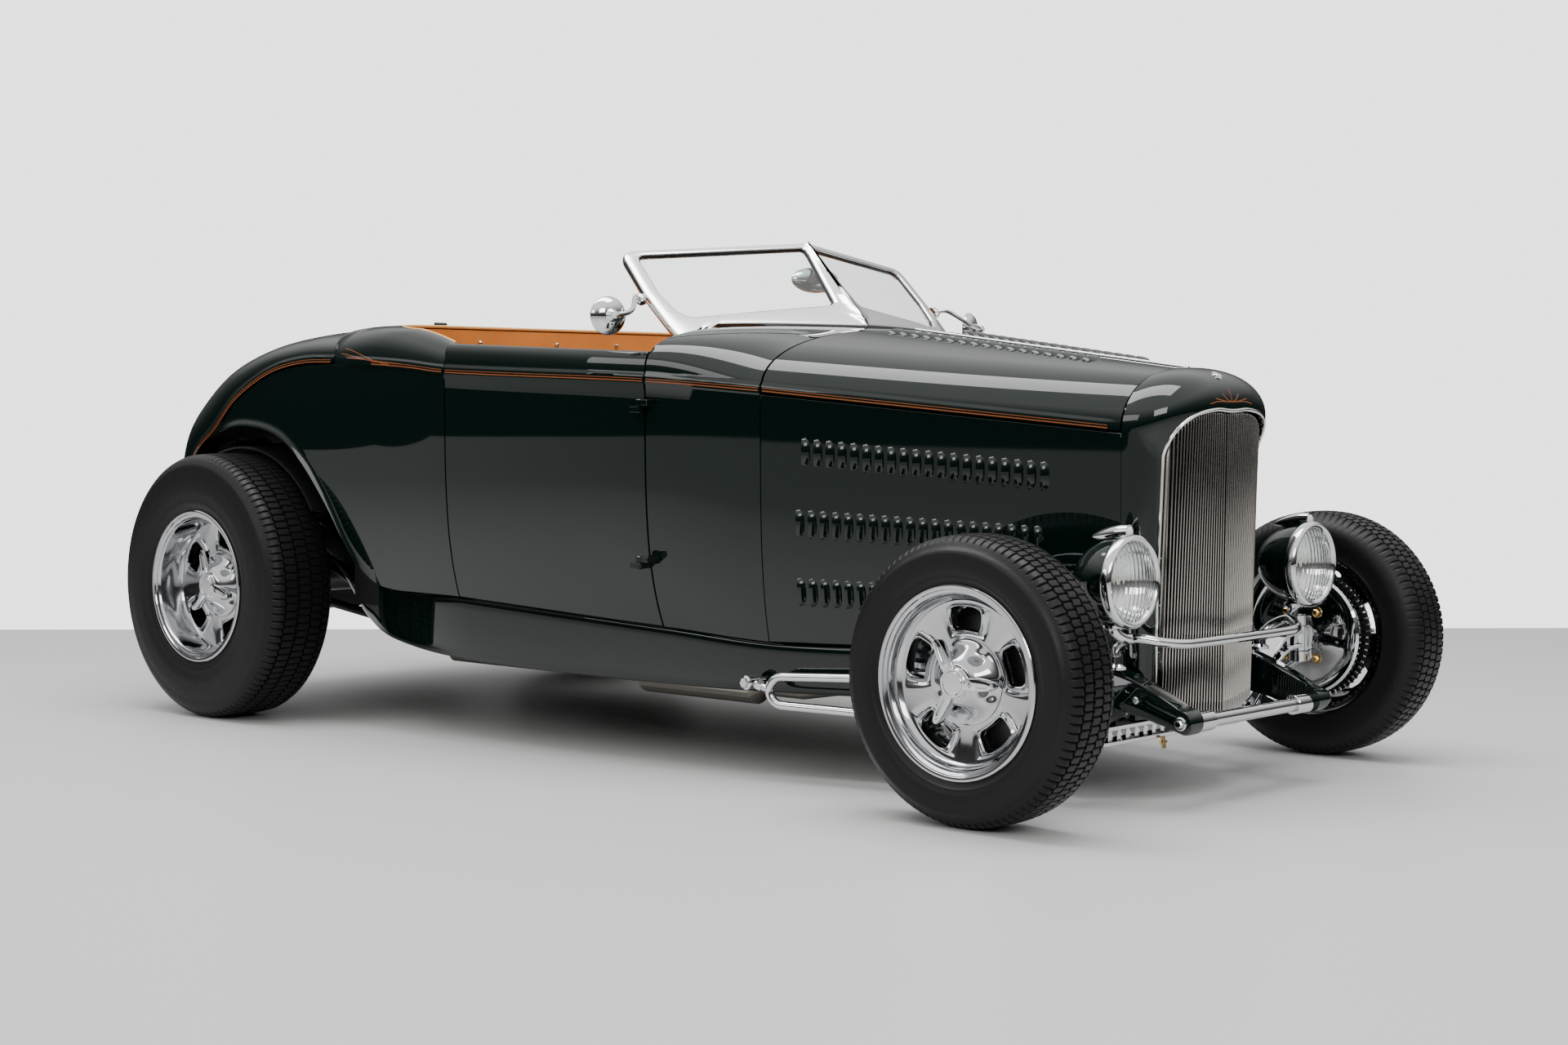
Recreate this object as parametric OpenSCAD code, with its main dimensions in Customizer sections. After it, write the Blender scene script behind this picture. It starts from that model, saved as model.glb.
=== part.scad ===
// Street rod roadster: open two-seat body on a ladder frame, in millimetres.
// +X is forward, +Y is the left side, +Z is up. The origin is on the ground
// under the middle of the car's outline.

/* [Chassis] */
// Distance between the front and rear axle lines
wheelbase = 2692; // [2600:1:3300]
// Distance between the middles of the front tyres
front_track = 1426; // [1400:1:1720]
// Distance between the middles of the rear tyres
rear_track = 1451; // [1440:1:1750]
// Length of body tail and bumper bar behind the rear axle line
rear_overhang = 523; // [500:1:640]
// Width of a frame rail
rail_w = 52; // [40:1:64]
// Distance from the middle of the car to each kingpin
kingpin_y = 595; // [590:1:610]
// Largest steering angle each way
steer_limit = 25; // [10:1:25]

/* [Wheels] */
// Outside radius of a front tyre
front_tyre_r = 307; // [290:1:330]
// Width of a front tyre
front_tyre_w = 175; // [150:1:180]
// Outside radius of a rear tyre
rear_tyre_r = 374; // [330:1:385]
// Width of a rear tyre
rear_tyre_w = 225; // [190:1:235]
// Radius of a front rim over its lip
front_rim_r = 206; // [180:1:220]
// Radius of a rear rim over its lip
rear_rim_r = 215; // [180:1:230]
// Distance from a front tyre's middle out to the rim lip
front_lip_out = 76; // [60:1:80]
// Distance from a rear tyre's middle out to the rim lip
rear_lip_out = 104; // [85:1:106]
// Number of windows in each wheel
wheel_windows = 5; // [3:1:8]

/* [Body] */
// Half width of the body at the back of the hood
hood_rear_w = 575; // [500:1:600]
// Half width of the body at the front door seam
door_front_w = 660; // [600:1:680]
// Half width of the body at the rear door seam
door_rear_w = 700; // [620:1:715]
// Half width of the body over the rear wheels
quarter_w = 690; // [620:1:715]
// Thickness of a body panel with its inner structure
wall = 12; // [8:1:16]
// Thickness of a whole door
door_t = 56; // [40:1:64]
// Gap around each door, hood top and lid
seam = 5; // [5:0.5:8]
// Half width of the deck lid
lid_half_w = 430; // [360:1:470]
// How far a door opens
door_open = 65; // [30:1:70]
// How far a hood top opens
hood_open = 75; // [30:1:80]
// How far the deck lid opens
lid_open = 50; // [30:1:55]

/* [Windshield] */
// Thickness of the windshield frame
shield_t = 22; // [14:1:30]
// Thickness of the windshield glass
glass_t = 6; // [4:1:10]
// Radius of a side mirror
mirror_r = 47; // [35:1:60]

/* [Front end] */
// Radius of a headlight over its ring
headlight_r = 103; // [80:1:110]
// Distance from the middle of the car to each headlight
headlight_y = 380; // [370:1:400]
// Height of the headlights' middles
headlight_z = 502; // [470:1:560]
// Radius of a hairpin rod
hairpin_r = 11; // [8:1:12]
// Radius of the steering rods
rod_r = 11; // [8:1:12]
// Radius of the kingpins
kingpin_r = 11; // [9:1:14]
// Radial running clearance at pins and bores
pin_fit = 0.05; // [0.02:0.01:0.1]

/* [Cockpit] */
// Radius of the steering wheel to the middle of its rim
steering_wheel_r = 180; // [150:1:195]
// Width of the bench seat
seat_w = 1040; // [900:1:1050]

/* [Hidden] */

// Colours
paint = [0.02, 0.05, 0.04];
bright = [0.85, 0.86, 0.88];
alloy = [0.75, 0.76, 0.78];
black = [0.05, 0.05, 0.05];
tan_leather = [0.72, 0.36, 0.12];

// Stations along the car, measured from the middle of the wheelbase
fa = wheelbase / 2;          // front axle line
ra = -wheelbase / 2;         // rear axle line
nose_x = fa + front_tyre_r;
tail_x = ra - rear_overhang;
centre_x = (nose_x + tail_x) / 2;
hood_front = fa + 39;
hood_rear = fa - 746;
door_front = fa - 1046;
door_rear = ra + 946;
deck_front = ra + 470;
lid_front = deck_front - 12;
half_seam = seam / 2;
tight = 0.3;                 // fit between pieces that are fixed together

// Smooth curve through [position, value] knots, by cubic pieces whose slope at
// each knot is that of the line through its two neighbours
function lerp(a, b, t) = a + (b - a) * t;
function seg(k, x, i = 0) = i >= len(k) - 2 || x <= k[i + 1][0] ? i : seg(k, x, i + 1);
function slope(k, i) = let (a = max(i - 1, 0), b = min(i + 1, len(k) - 1))
  (k[b][1] - k[a][1]) / (k[b][0] - k[a][0]);
function curve(x, k) = let (i = seg(k, x), h = k[i + 1][0] - k[i][0], t = (x - k[i][0]) / h)
  (2 * t^3 - 3 * t^2 + 1) * k[i][1] + (t^3 - 2 * t^2 + t) * h * slope(k, i)
  + (3 * t^2 - 2 * t^3) * k[i + 1][1] + (t^3 - t^2) * h * slope(k, i + 1);
function ramp(t) = t * t * (3 - 2 * t);
function arc_out(phi, n) = pow(max(cos(phi), 0), 2 / n);
function arc_up(phi, n) = pow(max(sin(phi), 0), 2 / n);

// Belt line, sill line and crown line of the body
hood_taper = (hood_rear_w - 250) / (hood_front - hood_rear);
belt_w_knots = [
  [ra - 200, quarter_w], [ra + 300, quarter_w], [ra + 650, (quarter_w + door_rear_w) / 2],
  [door_rear, door_rear_w], [lerp(door_rear, door_front, 0.55), lerp(door_rear_w, door_front_w, 0.2)],
  [door_front, door_front_w], [hood_rear, hood_rear_w], [hood_rear + 100, hood_rear_w - 100 * hood_taper]
];
belt_z_knots = [
  [ra - 110, 800], [ra - 74, 826], [ra + 9, 896], [ra + 168, 967], [ra + 358, 994], [ra + 578, 989],
  [ra + 786, 977], [door_rear, 962], [door_front, 933], [hood_rear, 909], [hood_rear + 100, 898]
];
sill_z_knots = [
  [ra - 110, 796], [ra - 74, 809], [ra + 48, 826], [ra + 204, 800], [ra + 317, 727],
  [ra + 428, 605], [ra + 517, 474], [ra + 588, 408], [ra + 660, 390], [ra + 780, 387],
  [door_rear, 385], [door_front, 347], [hood_rear, 325], [hood_rear + 100, 325]
];
crown_z_knots = [
  [door_front, 1082], [door_front + 136, 1079], [hood_rear, 1070], [hood_rear + 100, 1057]
];
tuck_knots = [
  [ra, 36], [door_rear, 45], [door_front, 60], [hood_rear, 30], [hood_front, 22]
];
function belt_w(x) = x > hood_rear ? hood_rear_w - (x - hood_rear) * hood_taper : curve(x, belt_w_knots);
function belt_z(x) = x > hood_rear ? 909 - (x - hood_rear) * 0.1121 : curve(x, belt_z_knots);
function sill_z(x) = x > hood_rear ? 325 : curve(x, sill_z_knots);
function crown_z(x) = x > hood_rear ? 1070 - (x - hood_rear) * 0.1316 : curve(x, crown_z_knots);
function crown_n(x) = lerp(4, 2.4, ramp(min(max((x - door_front) / (hood_rear - door_front), 0), 1)));

// Half width of the side at height z: it tucks in below the belt
function side_w(x, z) = let (low = min(sill_z(x), 390), v = min(max((belt_z(x) - z) / (belt_z(x) - low), 0), 1))
  belt_w(x) - curve(x, tuck_knots) * pow(v, 4);
function crown_point(x, phi) = [x, -belt_w(x) * arc_out(phi, crown_n(x)),
  belt_z(x) + (crown_z(x) - belt_z(x)) * arc_up(phi, crown_n(x))];
function side_point(x, z) = [x, -side_w(x, z), z];

// Tail surface: at each station t an arc runs from the edge curve to the centre line
tail_edge_knots = [
  [0, [ra + 470, quarter_w, 995]], [1, [ra + 320, quarter_w, 994]], [2, [ra + 168, quarter_w, 967]],
  [3, [ra + 9, quarter_w, 896]], [4, [ra - 94, quarter_w - 1, 812]], [5, [ra - 196, quarter_w - 8, 748]],
  [6, [ra - 286, quarter_w - 34, 662]], [7, [ra - 352, quarter_w - 68, 550]], [8, [ra - 390, quarter_w - 94, 430]]
];
tail_mid_knots = [
  [0, [ra + 470, 0, 1105]], [1, [ra + 310, 0, 1101]], [2, [ra + 106, 0, 1080]],
  [3, [ra - 94, 0, 1035]], [4, [ra - 250, 0, 960]], [5, [ra - 350, 0, 862]],
  [6, [ra - 412, 0, 740]], [7, [ra - 440, 0, 590]], [8, [ra - 442, 0, 430]]
];
function tail_n(t) = lerp(3.8, 3.0, t / 8);
function tail_at(t, out, up) = let (e = curve(t, tail_edge_knots), m = curve(t, tail_mid_knots))
  [lerp(e[0], m[0], up), -e[1] * out, lerp(e[2], m[2], up)];
function tail_point(t, phi) = tail_at(t, arc_out(phi, tail_n(t)), arc_up(phi, tail_n(t)));
function tail_phi(t, y) = acos(pow(y / curve(t, tail_edge_knots)[1], tail_n(t) / 2));
function tail_strip(t, y) = let (phi = tail_phi(t, abs(y)), p = tail_point(t, phi)) [p[0], y, p[2]];
lid_t0 = 0.035;
lid_t1 = 7.1;

// Grids of points make closed panels. A grid's rows run forward and its columns
// run from the right side up and over to the left, so that its outer face points out.
function grid_normal(g, i, j) = let (
  a = g[min(i + 1, len(g) - 1)][j] - g[max(i - 1, 0)][j],
  b = g[i][min(j + 1, len(g[0]) - 1)] - g[i][max(j - 1, 0)],
  c = cross(a, b)) c / norm(c);
function inset(g, t) = [for (i = [0:len(g) - 1]) [for (j = [0:len(g[0]) - 1]) g[i][j] - t * grid_normal(g, i, j)]];
function flat(g) = [for (row = g) for (p = row) p];
function mirror_path(p) = concat(p, [for (i = [len(p) - 2:-1:0]) [p[i][0], -p[i][1], p[i][2]]]);

module panel(outer, inner) {
  m = len(outer);
  n = len(outer[0]);
  k = m * n;
  function id(i, j) = i * n + j;
  polyhedron(
    points = concat(flat(outer), flat(inner)),
    faces = concat(
      [for (i = [0:m - 2]) for (j = [0:n - 2]) [id(i, j), id(i, j + 1), id(i + 1, j + 1)]],
      [for (i = [0:m - 2]) for (j = [0:n - 2]) [id(i, j), id(i + 1, j + 1), id(i + 1, j)]],
      [for (i = [0:m - 2]) for (j = [0:n - 2]) [k + id(i, j), k + id(i + 1, j + 1), k + id(i, j + 1)]],
      [for (i = [0:m - 2]) for (j = [0:n - 2]) [k + id(i, j), k + id(i + 1, j), k + id(i + 1, j + 1)]],
      [for (i = [0:m - 2]) [id(i, 0), id(i + 1, 0), k + id(i + 1, 0)]],
      [for (i = [0:m - 2]) [id(i, 0), k + id(i + 1, 0), k + id(i, 0)]],
      [for (i = [0:m - 2]) [id(i + 1, n - 1), id(i, n - 1), k + id(i, n - 1)]],
      [for (i = [0:m - 2]) [id(i + 1, n - 1), k + id(i, n - 1), k + id(i + 1, n - 1)]],
      [for (j = [0:n - 2]) [id(0, j + 1), id(0, j), k + id(0, j)]],
      [for (j = [0:n - 2]) [id(0, j + 1), k + id(0, j), k + id(0, j + 1)]],
      [for (j = [0:n - 2]) [id(m - 1, j), id(m - 1, j + 1), k + id(m - 1, j + 1)]],
      [for (j = [0:n - 2]) [id(m - 1, j), k + id(m - 1, j + 1), k + id(m - 1, j)]]),
    convexity = 6);
}
module shell(outer) { panel(outer, inset(outer, wall)); }

// Closed rings of points joined along a path, first ring at the front
module loft(rings) {
  m = len(rings);
  n = len(rings[0]);
  polyhedron(
    points = flat(rings),
    faces = concat(
      [[for (j = [0:n - 1]) j]],
      [for (i = [0:m - 2]) for (j = [0:n - 1]) [i * n + j, (i + 1) * n + j, (i + 1) * n + (j + 1) % n]],
      [for (i = [0:m - 2]) for (j = [0:n - 1]) [i * n + j, (i + 1) * n + (j + 1) % n, i * n + (j + 1) % n]],
      [[for (j = [n - 1:-1:0]) (m - 1) * n + j]]),
    convexity = 6);
}

// Round bar between two points
module rod(p, q, r) {
  d = q - p;
  l = norm(d);
  translate(p) rotate([0, acos(d[2] / l), atan2(d[1], d[0])]) cylinder(r = r, h = l, $fn = 32);
}
module ball(p, r) { translate(p) sphere(r = r, $fn = 32); }
module both_sides() {
  children();
  mirror([0, 1, 0]) children();
}
module at_car() { translate([-centre_x, 0, 0]) children(); }
module across(x, z) { translate([x, 0, z]) rotate([90, 0, 0]) children(); }

// ---------------------------------------------------------------- frame
// Each rail knot holds outer half width, top height and bottom height
rail_knots = [
  [tail_x, [500, 420, 345]], [ra - 370, [500, 420, 350]], [ra - 225, [505, 530, 440]], [ra, [510, 590, 500]],
  [ra + 225, [522, 530, 430]], [ra + 400, [545, 440, 290]], [ra + 560, [580, 384, 240]],
  [door_rear, [628, 379, 212]], [door_front, [578, 341, 200]], [hood_rear, [525, 319, 200]],
  [fa - 346, [400, 319, 202]], [fa - 60, [318, 319, 205]], [fa + 60, [302, 296, 205]],
  [fa + 160, [300, 258, 186]], [fa + 232, [300, 222, 166]]
];
function rail_ring(x) = let (k = curve(x, rail_knots), o = k[0], top = k[1], low = k[2], h = top - low) [
  [x, -o + rail_w, top], [x, -o + rail_w, low], [x, -o + 0.42 * rail_w, low], [x, -o + 0.16 * rail_w, low + 0.12 * h],
  [x, -o + 0.02 * rail_w, low + 0.4 * h], [x, -o, low + 0.8 * h], [x, -o, top]
];
rail_stations = 40;
rail_front = fa + 232;
bar_r = 14;
module frame_rails() color(paint) at_car() both_sides() {
  loft([for (i = [0:rail_stations]) rail_ring(lerp(rail_front, tail_x, i / rail_stations))]);
}
function rail_in(x) = curve(x, rail_knots)[0] - rail_w;
function rail_top(x) = curve(x, rail_knots)[1];
front_bar_z = 190;
rear_bar_z = 385;
module spreader_bars() color(bright) at_car() {
  for (p = [[rail_front - 22, front_bar_z], [tail_x + 22, rear_bar_z]]) {
    half = min(rail_in(p[0] - bar_r), rail_in(p[0] + bar_r)) - tight;
    rod([p[0], -half, p[1]], [p[0], half, p[1]], bar_r);
  }
}
module cross_tube(x, z, r) {
  w = min(rail_in(x - r), rail_in(x + r)) - tight;
  rod([x, -w, z], [x, w, z], r);
}
module crossmembers() color(paint) at_car() {
  cross_tube(fa, 262, 34);
  cross_tube(fa - 900, 240, 26);
  cross_tube(ra + 760, floor_z - 26 - tight, 26);
  cross_tube(deck_front + 10, floor_z - 24, 20);
  cross_tube(ra + 170, 500, 26);
  cross_tube(ra - 330, 410, 26);
}

// ---------------------------------------------------------------- front end
axle_mid_z = 142;
axle_end_z = 300;
axle_h = 44;
hairpin_front_y = 400;
hairpin_rear = [fa - 776, -578, 230];
hairpin_bend = [fa - 736, -571, 218];
function axle_z(y) = lerp(axle_mid_z, axle_end_z, ramp(min(max((abs(y) - 270) / 270, 0), 1)));
module front_axle() color(bright) at_car() {
  ys = [for (i = [-28:28]) i * (kingpin_y - 18) / 28];
  difference() {
    union() {
      translate([fa + 24, 0, 0]) rotate([90, 0, -90]) linear_extrude(48)
        polygon(concat([for (y = ys) [-y, axle_z(y) + axle_h / 2]],
          [for (i = [len(ys) - 1:-1:0]) [-ys[i], axle_z(ys[i]) - axle_h / 2]]));
      both_sides() translate([fa, -kingpin_y, axle_end_z - 32]) cylinder(r = 24, h = 64, $fn = 48);
    }
    both_sides() translate([fa, -kingpin_y, axle_end_z - 40]) cylinder(r = kingpin_r + pin_fit, h = 80, $fn = 48);
  }
}
spring_w = 45;
spring_top = 228 - tight;
spring_bend_r = 1400;
module front_spring() color(black) at_car() {
  translate([fa + spring_w / 2, 0, 0]) rotate([90, 0, -90]) linear_extrude(spring_w)
    difference() {
      intersection() {
        translate([0, spring_top - spring_bend_r]) circle(r = spring_bend_r, $fn = 180);
        translate([-262, 100]) square([524, 200]);
      }
      translate([0, spring_top - 30 - spring_bend_r]) circle(r = spring_bend_r, $fn = 180);
    }
  both_sides() rod([fa, -248, axle_z(248) + axle_h / 2 + tight], [fa, -248, spring_top - 30], 10);
}
function hairpin_at(up, s) = lerp([fa - 690, -562, 214 + up * 34], [fa - 34, -hairpin_front_y, axle_z(hairpin_front_y) + up * 54], s);
module hairpins() color(bright) at_car() both_sides() {
  for (up = [-1, 1]) {
    rod(hairpin_at(up, 0), hairpin_at(up, 1), hairpin_r);
    ball(hairpin_at(up, 0), hairpin_r + 1);
    rod(hairpin_bend, hairpin_at(up, 0), hairpin_r);
  }
  ball(hairpin_bend, hairpin_r + 1);
  rod(hairpin_bend, hairpin_rear, hairpin_r - 1);
  translate(hairpin_rear + [0, -16, 0]) rotate([-90, 0, 0])
    cylinder(r = 17, h = -hairpin_rear[1] + 16 - rail_in(hairpin_rear[0]) - rail_w - tight, $fn = 40);
  translate([fa - 44, -hairpin_front_y - 13, axle_z(hairpin_front_y) - 72]) cube([20 - tight, 26, 144]);
}
lamp_x = fa + 156;
module headlight_bar() color(bright) at_car() {
  rod([fa + 196, -250, 362], [fa + 196, 250, 362], 12);
  both_sides() {
    ball([fa + 196, -250, 362], 13);
    rod([fa + 196, -250, 362], [fa + 130, -340, 378], 12);
    ball([fa + 130, -340, 378], 13);
    rod([fa + 130, -340, 378], [fa + 66, -276, rail_top(fa + 66) + 8], 12);
    rod([fa + 130, -340, 378], [lamp_x - 46, -headlight_y, headlight_z - headlight_r + 2.4], 12);
  }
}
module headlight_shells() color(paint) at_car() both_sides()
  translate([lamp_x, -headlight_y, headlight_z]) rotate([0, 90, 0]) rotate_extrude($fn = 96) difference() {
    polygon([[0, -120], [34, -114], [62, -98], [82, -70], [93, -34], [headlight_r - 4, -18], [headlight_r, -10], [headlight_r, 0],
      [88, 8], [0, 8]]);
    translate([0, -14]) square([84, 30]);
  }
module headlight_lenses() color([0.9, 0.95, 1, 0.5]) at_car() both_sides()
  translate([lamp_x, -headlight_y, headlight_z]) rotate([0, 90, 0]) rotate_extrude($fn = 96)
    polygon([[0, -13.7], [83.7, -13.7], [83.7, 2], [60, 12], [30, 17], [0, 19]]);

// Front edge of the shell follows the grille opening; rear edge follows the hood
shell_rows = 22;
grille_low = 172;
function shell_rear(v) = v < 0.55
  ? let (z = lerp(grille_low + 6, belt_z(hood_front), v / 0.55)) [hood_front + half_seam + 0.4, -side_w(hood_front, z), z]
  : let (p = crown_point(hood_front, 90 * (v - 0.55) / 0.45)) [hood_front + half_seam + 0.4 + 13 * arc_up(90 * (v - 0.55) / 0.45, 2), p[1], p[2]];
function shell_front(v) = v < 0.55
  ? let (z = lerp(grille_low + 14, 770, v / 0.55)) [fa + lerp(86, 112, v / 0.55), -lerp(180, 197, min(v * 4, 1)), z]
  : let (a = 90 * (v - 0.55) / 0.45) [fa + 112 + 58 * arc_up(a, 2.4), -197 * arc_out(a, 3), 770 + 104 * arc_up(a, 3)];
function shell_point(u, v) = let (a = shell_rear(v), b = shell_front(v), f = arc_up(90 * u, 2.2), g = 1 - arc_out(90 * u, 2.2))
  [lerp(a[0], b[0], f), lerp(a[1], b[1], g), lerp(a[2], b[2], g)];
module grille_shell() color(paint) at_car()
  shell([for (i = [0:7]) mirror_path([for (j = [0:shell_rows]) shell_point(i / 7, j / shell_rows)])]);
module grille_insert() color(bright) at_car() {
  for (side = [-1, 1]) for (i = [0:17]) {
    y = side * (8 + i * 10);
    x = fa + 146 - 52 * i / 17;
    top = 770 + 88 * pow(max(1 - pow(abs(y) / 192, 3), 0), 1 / 3);
    translate([x, y, grille_low + 8]) cylinder(r = 3, h = top - grille_low - 8, $fn = 16);
  }
  both_sides() for (z = [240, 420, 600, 780]) rod([fa + 143, 0, z], [fa + 91, -180, z], 2.4);
  both_sides() for (z = [420, 600, 780]) rod([fa + 92, -178, z], [fa + 50 + tight, -178, z], 4);
}
radiator_low = 297;
module radiator() color(black) at_car() {
  translate([fa - 30, -190, radiator_low]) cube([60, 380, 560]);
  translate([fa + 20, -radiator_frame_w, radiator_low]) cube([30, 2 * radiator_frame_w, 540]);
}
radiator_frame_w = 215;

// ---------------------------------------------------------------- drive line
module engine() color([0.3, 0.3, 0.32]) at_car() translate([fa - 640, -215, 300]) cube([500, 430, 545]);
module transmission() color(alloy) at_car() {
  rod([fa - 641.2, 0, 350], [fa - 760, 0, 348], 120);
  rod([fa - 760, 0, 348], [fa - 1180, 0, 335], 75);
  rod([fa - 1180, 0, 335], [ra + 126, 0, rear_tyre_r], 30);
}
pipe_r = 24;
pipe_z = 180;
// Round pipe through [point, radius] stops, from front to back
pipe_sides = 20;
function pipe_dir(k, i) = let (d = k[min(i + 1, len(k) - 1)][0] - k[max(i - 1, 0)][0]) d / norm(d);
function pipe_ring(p, t, r) = let (u = cross(t, [0, 1, 0]) / norm(cross(t, [0, 1, 0])), w = cross(t, u))
  [for (j = [0:pipe_sides - 1]) p + r * (cos(360 * j / pipe_sides) * u + sin(360 * j / pipe_sides) * w)];
module exhaust() color(bright) at_car() both_sides() {
  stops = [
    [[fa - 420, -239.2, 400], pipe_r], [[fa - 440, -251, 345], pipe_r], [[fa - 470, -264, 285], pipe_r],
    [[fa - 530, -276, 240], pipe_r], [[fa - 700, -290, 206], pipe_r], [[fa - 860, -300, pipe_z], pipe_r],
    [[fa - 990, -300, pipe_z], pipe_r], [[fa - 1010, -300, pipe_z], 2 * pipe_r],
    [[fa - 1400, -300, pipe_z], 2 * pipe_r], [[fa - 1420, -300, pipe_z], pipe_r],
    [[ra + 700 + tight, -300, pipe_z], pipe_r]
  ];
  loft([for (i = [0:len(stops) - 1]) pipe_ring(stops[i][0], pipe_dir(stops, i), stops[i][1])]);
  rod([ra + 700, -300, pipe_z], [ra + 500, -300, pipe_z], pipe_r);
}

// ---------------------------------------------------------------- hood and cowl
hood_slant = 13;
function hood_x(u, phi) = lerp(hood_rear + half_seam, hood_front - half_seam + hood_slant * arc_up(phi, 2), u);
module hood_side_right() shell([for (i = [0:8]) let (x = lerp(hood_rear - half_seam + 1.5, hood_front + half_seam - 0.3, i / 8))
  [for (j = [0:6]) side_point(x, lerp(sill_z(x), belt_z(x) - half_seam, j / 6))]]);
module hood_sides() color(paint) at_car() both_sides() hood_side_right();
hinge_gap = 3.5;
hinge_rise = 2;
module hood_top() shell([for (i = [0:10]) [for (j = [0:11]) let (
  phi = lerp(0.5, 90, j / 11), x = hood_x(i / 10, phi), p = crown_point(x, phi))
  [p[0], min(p[1], -hinge_gap), p[2]]]]);
// The bright rod along the middle is the axis of both hood tops
module hood_hinge() color(bright) at_car()
  let (x0 = hood_rear - half_seam + tight, x1 = hood_front + half_seam + hood_slant)
  rod([x0, 0, crown_z(x0) + hinge_rise], [x1, 0, crown_z(x1) + hinge_rise], hinge_gap);
module hood_top_right() color(paint) at_car() hood_top();
module hood_top_left() color(paint) at_car() mirror([0, 1, 0]) hood_top();
function cowl_path(u) = mirror_path(concat(
  [for (j = [0:7]) let (x = lerp(door_front + half_seam, hood_rear - half_seam, u)) side_point(x, lerp(sill_z(x), belt_z(x) - 12, j / 7))],
  [for (j = [0:12]) let (phi = 90 * j / 12, x = lerp(door_front + half_seam + 44 * ramp(j / 12), hood_rear - half_seam, u)) crown_point(x, phi)]));
module cowl() color(paint) at_car() {
  shell([for (i = [0:6]) cowl_path(i / 6)]);
  both_sides() cowl_hinges();
}

// Bulkhead across the car at x, from the floor up to the inside of the body
module bulkhead(half, x, t) {
  translate([x, 0, 0]) rotate([90, 0, 90]) linear_extrude(t)
    polygon(concat([for (p = half) [p[1], p[2]]], [for (i = [len(half) - 1:-1:0]) [-half[i][1], half[i][2]]]));
}
floor_z = 296;
floor_t = 10;
tunnel_w = 92;
tunnel_z = 440;
skin_gap = 2.5;
// Foot of a bulkhead: beside the tunnel, between the rails and over them
function foot(x) = [
  [x, -tunnel_w - tight, tunnel_z + tight], [x, -tunnel_w - tight, floor_z + floor_t + tight],
  [x, -rail_in(x) + 3, floor_z + floor_t + tight], [x, -rail_in(x) + 3, rail_top(x) + 3]
];
function inside_cowl(x) = concat(foot(x),
  [for (j = [1:5]) let (z = lerp(rail_top(x) + 3, belt_z(x) - 12, j / 5)) [x, -side_w(x, z) + wall + skin_gap, z]],
  [for (j = [1:8]) let (phi = 90 * j / 8, p = crown_point(x, phi)) [x, p[1] * (1 - (wall + skin_gap) / belt_w(x)), p[2] - wall - skin_gap]]);
module firewall() color(paint) at_car() bulkhead(inside_cowl(hood_rear - 27), hood_rear - 32, 10);
module floor_pan() color(black) at_car() {
  stations = [hood_rear - 20, hood_rear - 160, door_front, lerp(door_front, door_rear, 0.5), door_rear, ra + 600, deck_front + 10];
  x0 = deck_front + 10;
  length = hood_rear - 20 - x0;
  difference() {
    union() {
      translate([0, 0, floor_z]) linear_extrude(floor_t) polygon(concat(
        [for (x = stations) [x, -rail_in(x) + 1]],
        [for (i = [len(stations) - 1:-1:0]) [stations[i], rail_in(stations[i]) - 1]]));
      translate([x0, -tunnel_w, floor_z]) cube([length, 2 * tunnel_w, tunnel_z - floor_z]);
    }
    translate([x0 - 1, -tunnel_w + floor_t, floor_z - 1])
      cube([length + 2, 2 * (tunnel_w - floor_t), tunnel_z - floor_z - floor_t + 1]);
  }
}
module rear_bulkhead() color(black) at_car() bulkhead(concat(foot(deck_front + 14),
  [for (j = [0:7]) let (p = tail_point(0, 11 + 10 * j)) [0, p[1] + wall + 2, p[2] - wall + 0.1]]), deck_front + 14, 8);
tub_r = 393;
tub_low = 590 + tight;
module wheel_tubs() color(black) at_car() both_sides() difference() {
  translate([ra, -665, rear_tyre_r]) rotate([-90, 0, 0]) cylinder(r = tub_r, h = 187, $fn = 120);
  translate([ra, -666, rear_tyre_r]) rotate([-90, 0, 0]) cylinder(r = tub_r - 6, h = 182, $fn = 120);
  translate([ra - 600, -700, -100]) cube([1200, 300, tub_low + 100]);
}

// ---------------------------------------------------------------- rear body
module quarter_right() shell([for (i = [0:26]) let (x = lerp(ra - 78, door_rear - half_seam, i / 26))
  [for (j = [0:8]) side_point(x, lerp(sill_z(x), belt_z(x) - tight, j / 8))]]);
module deck_side() shell([for (i = [0:24]) let (t = lerp(8, 0, i / 24), top = tail_phi(t, lid_half_w + half_seam))
    [for (j = [0:9]) tail_point(t, lerp(1, top, j / 9)) - [i == 24 ? tight : 0, 0, 0]]]);
module quarter_panels() color(paint) at_car() both_sides() {
  quarter_right();
  deck_side();
}
module tail_panel() color(paint) at_car()
  shell([for (i = [0:4]) let (t = lerp(8, lid_t1 + 0.04, i / 4))
    [for (j = [-8:8]) tail_strip(t, j * (lid_half_w + half_seam - tight) / 8)]]);
lid_axis = [deck_front - half_seam, 0, tail_mid_knots[0][1][2] + 7];
module lid_hinge(y, x, low) {
  translate([lid_axis[0], y, lid_axis[2]]) rotate([-90, 0, 0]) cylinder(r = 5, h = 19, $fn = 32);
  translate([min(x, lid_axis[0]), y, low]) cube([abs(x - lid_axis[0]), 19, lid_axis[2] + 3 - low]);
}
module lid_skin() shell([for (i = [0:24]) let (t = lerp(lid_t1, lid_t0, i / 24))
    [for (j = [-8:8]) tail_strip(t, j * (lid_half_w - half_seam) / 8)]]);
module deck_lid() color(paint) at_car() {
  lid_skin();
  both_sides() lid_hinge(300, lid_axis[0] - 22, tail_mid_knots[0][1][2] - 0.5);
}

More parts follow.
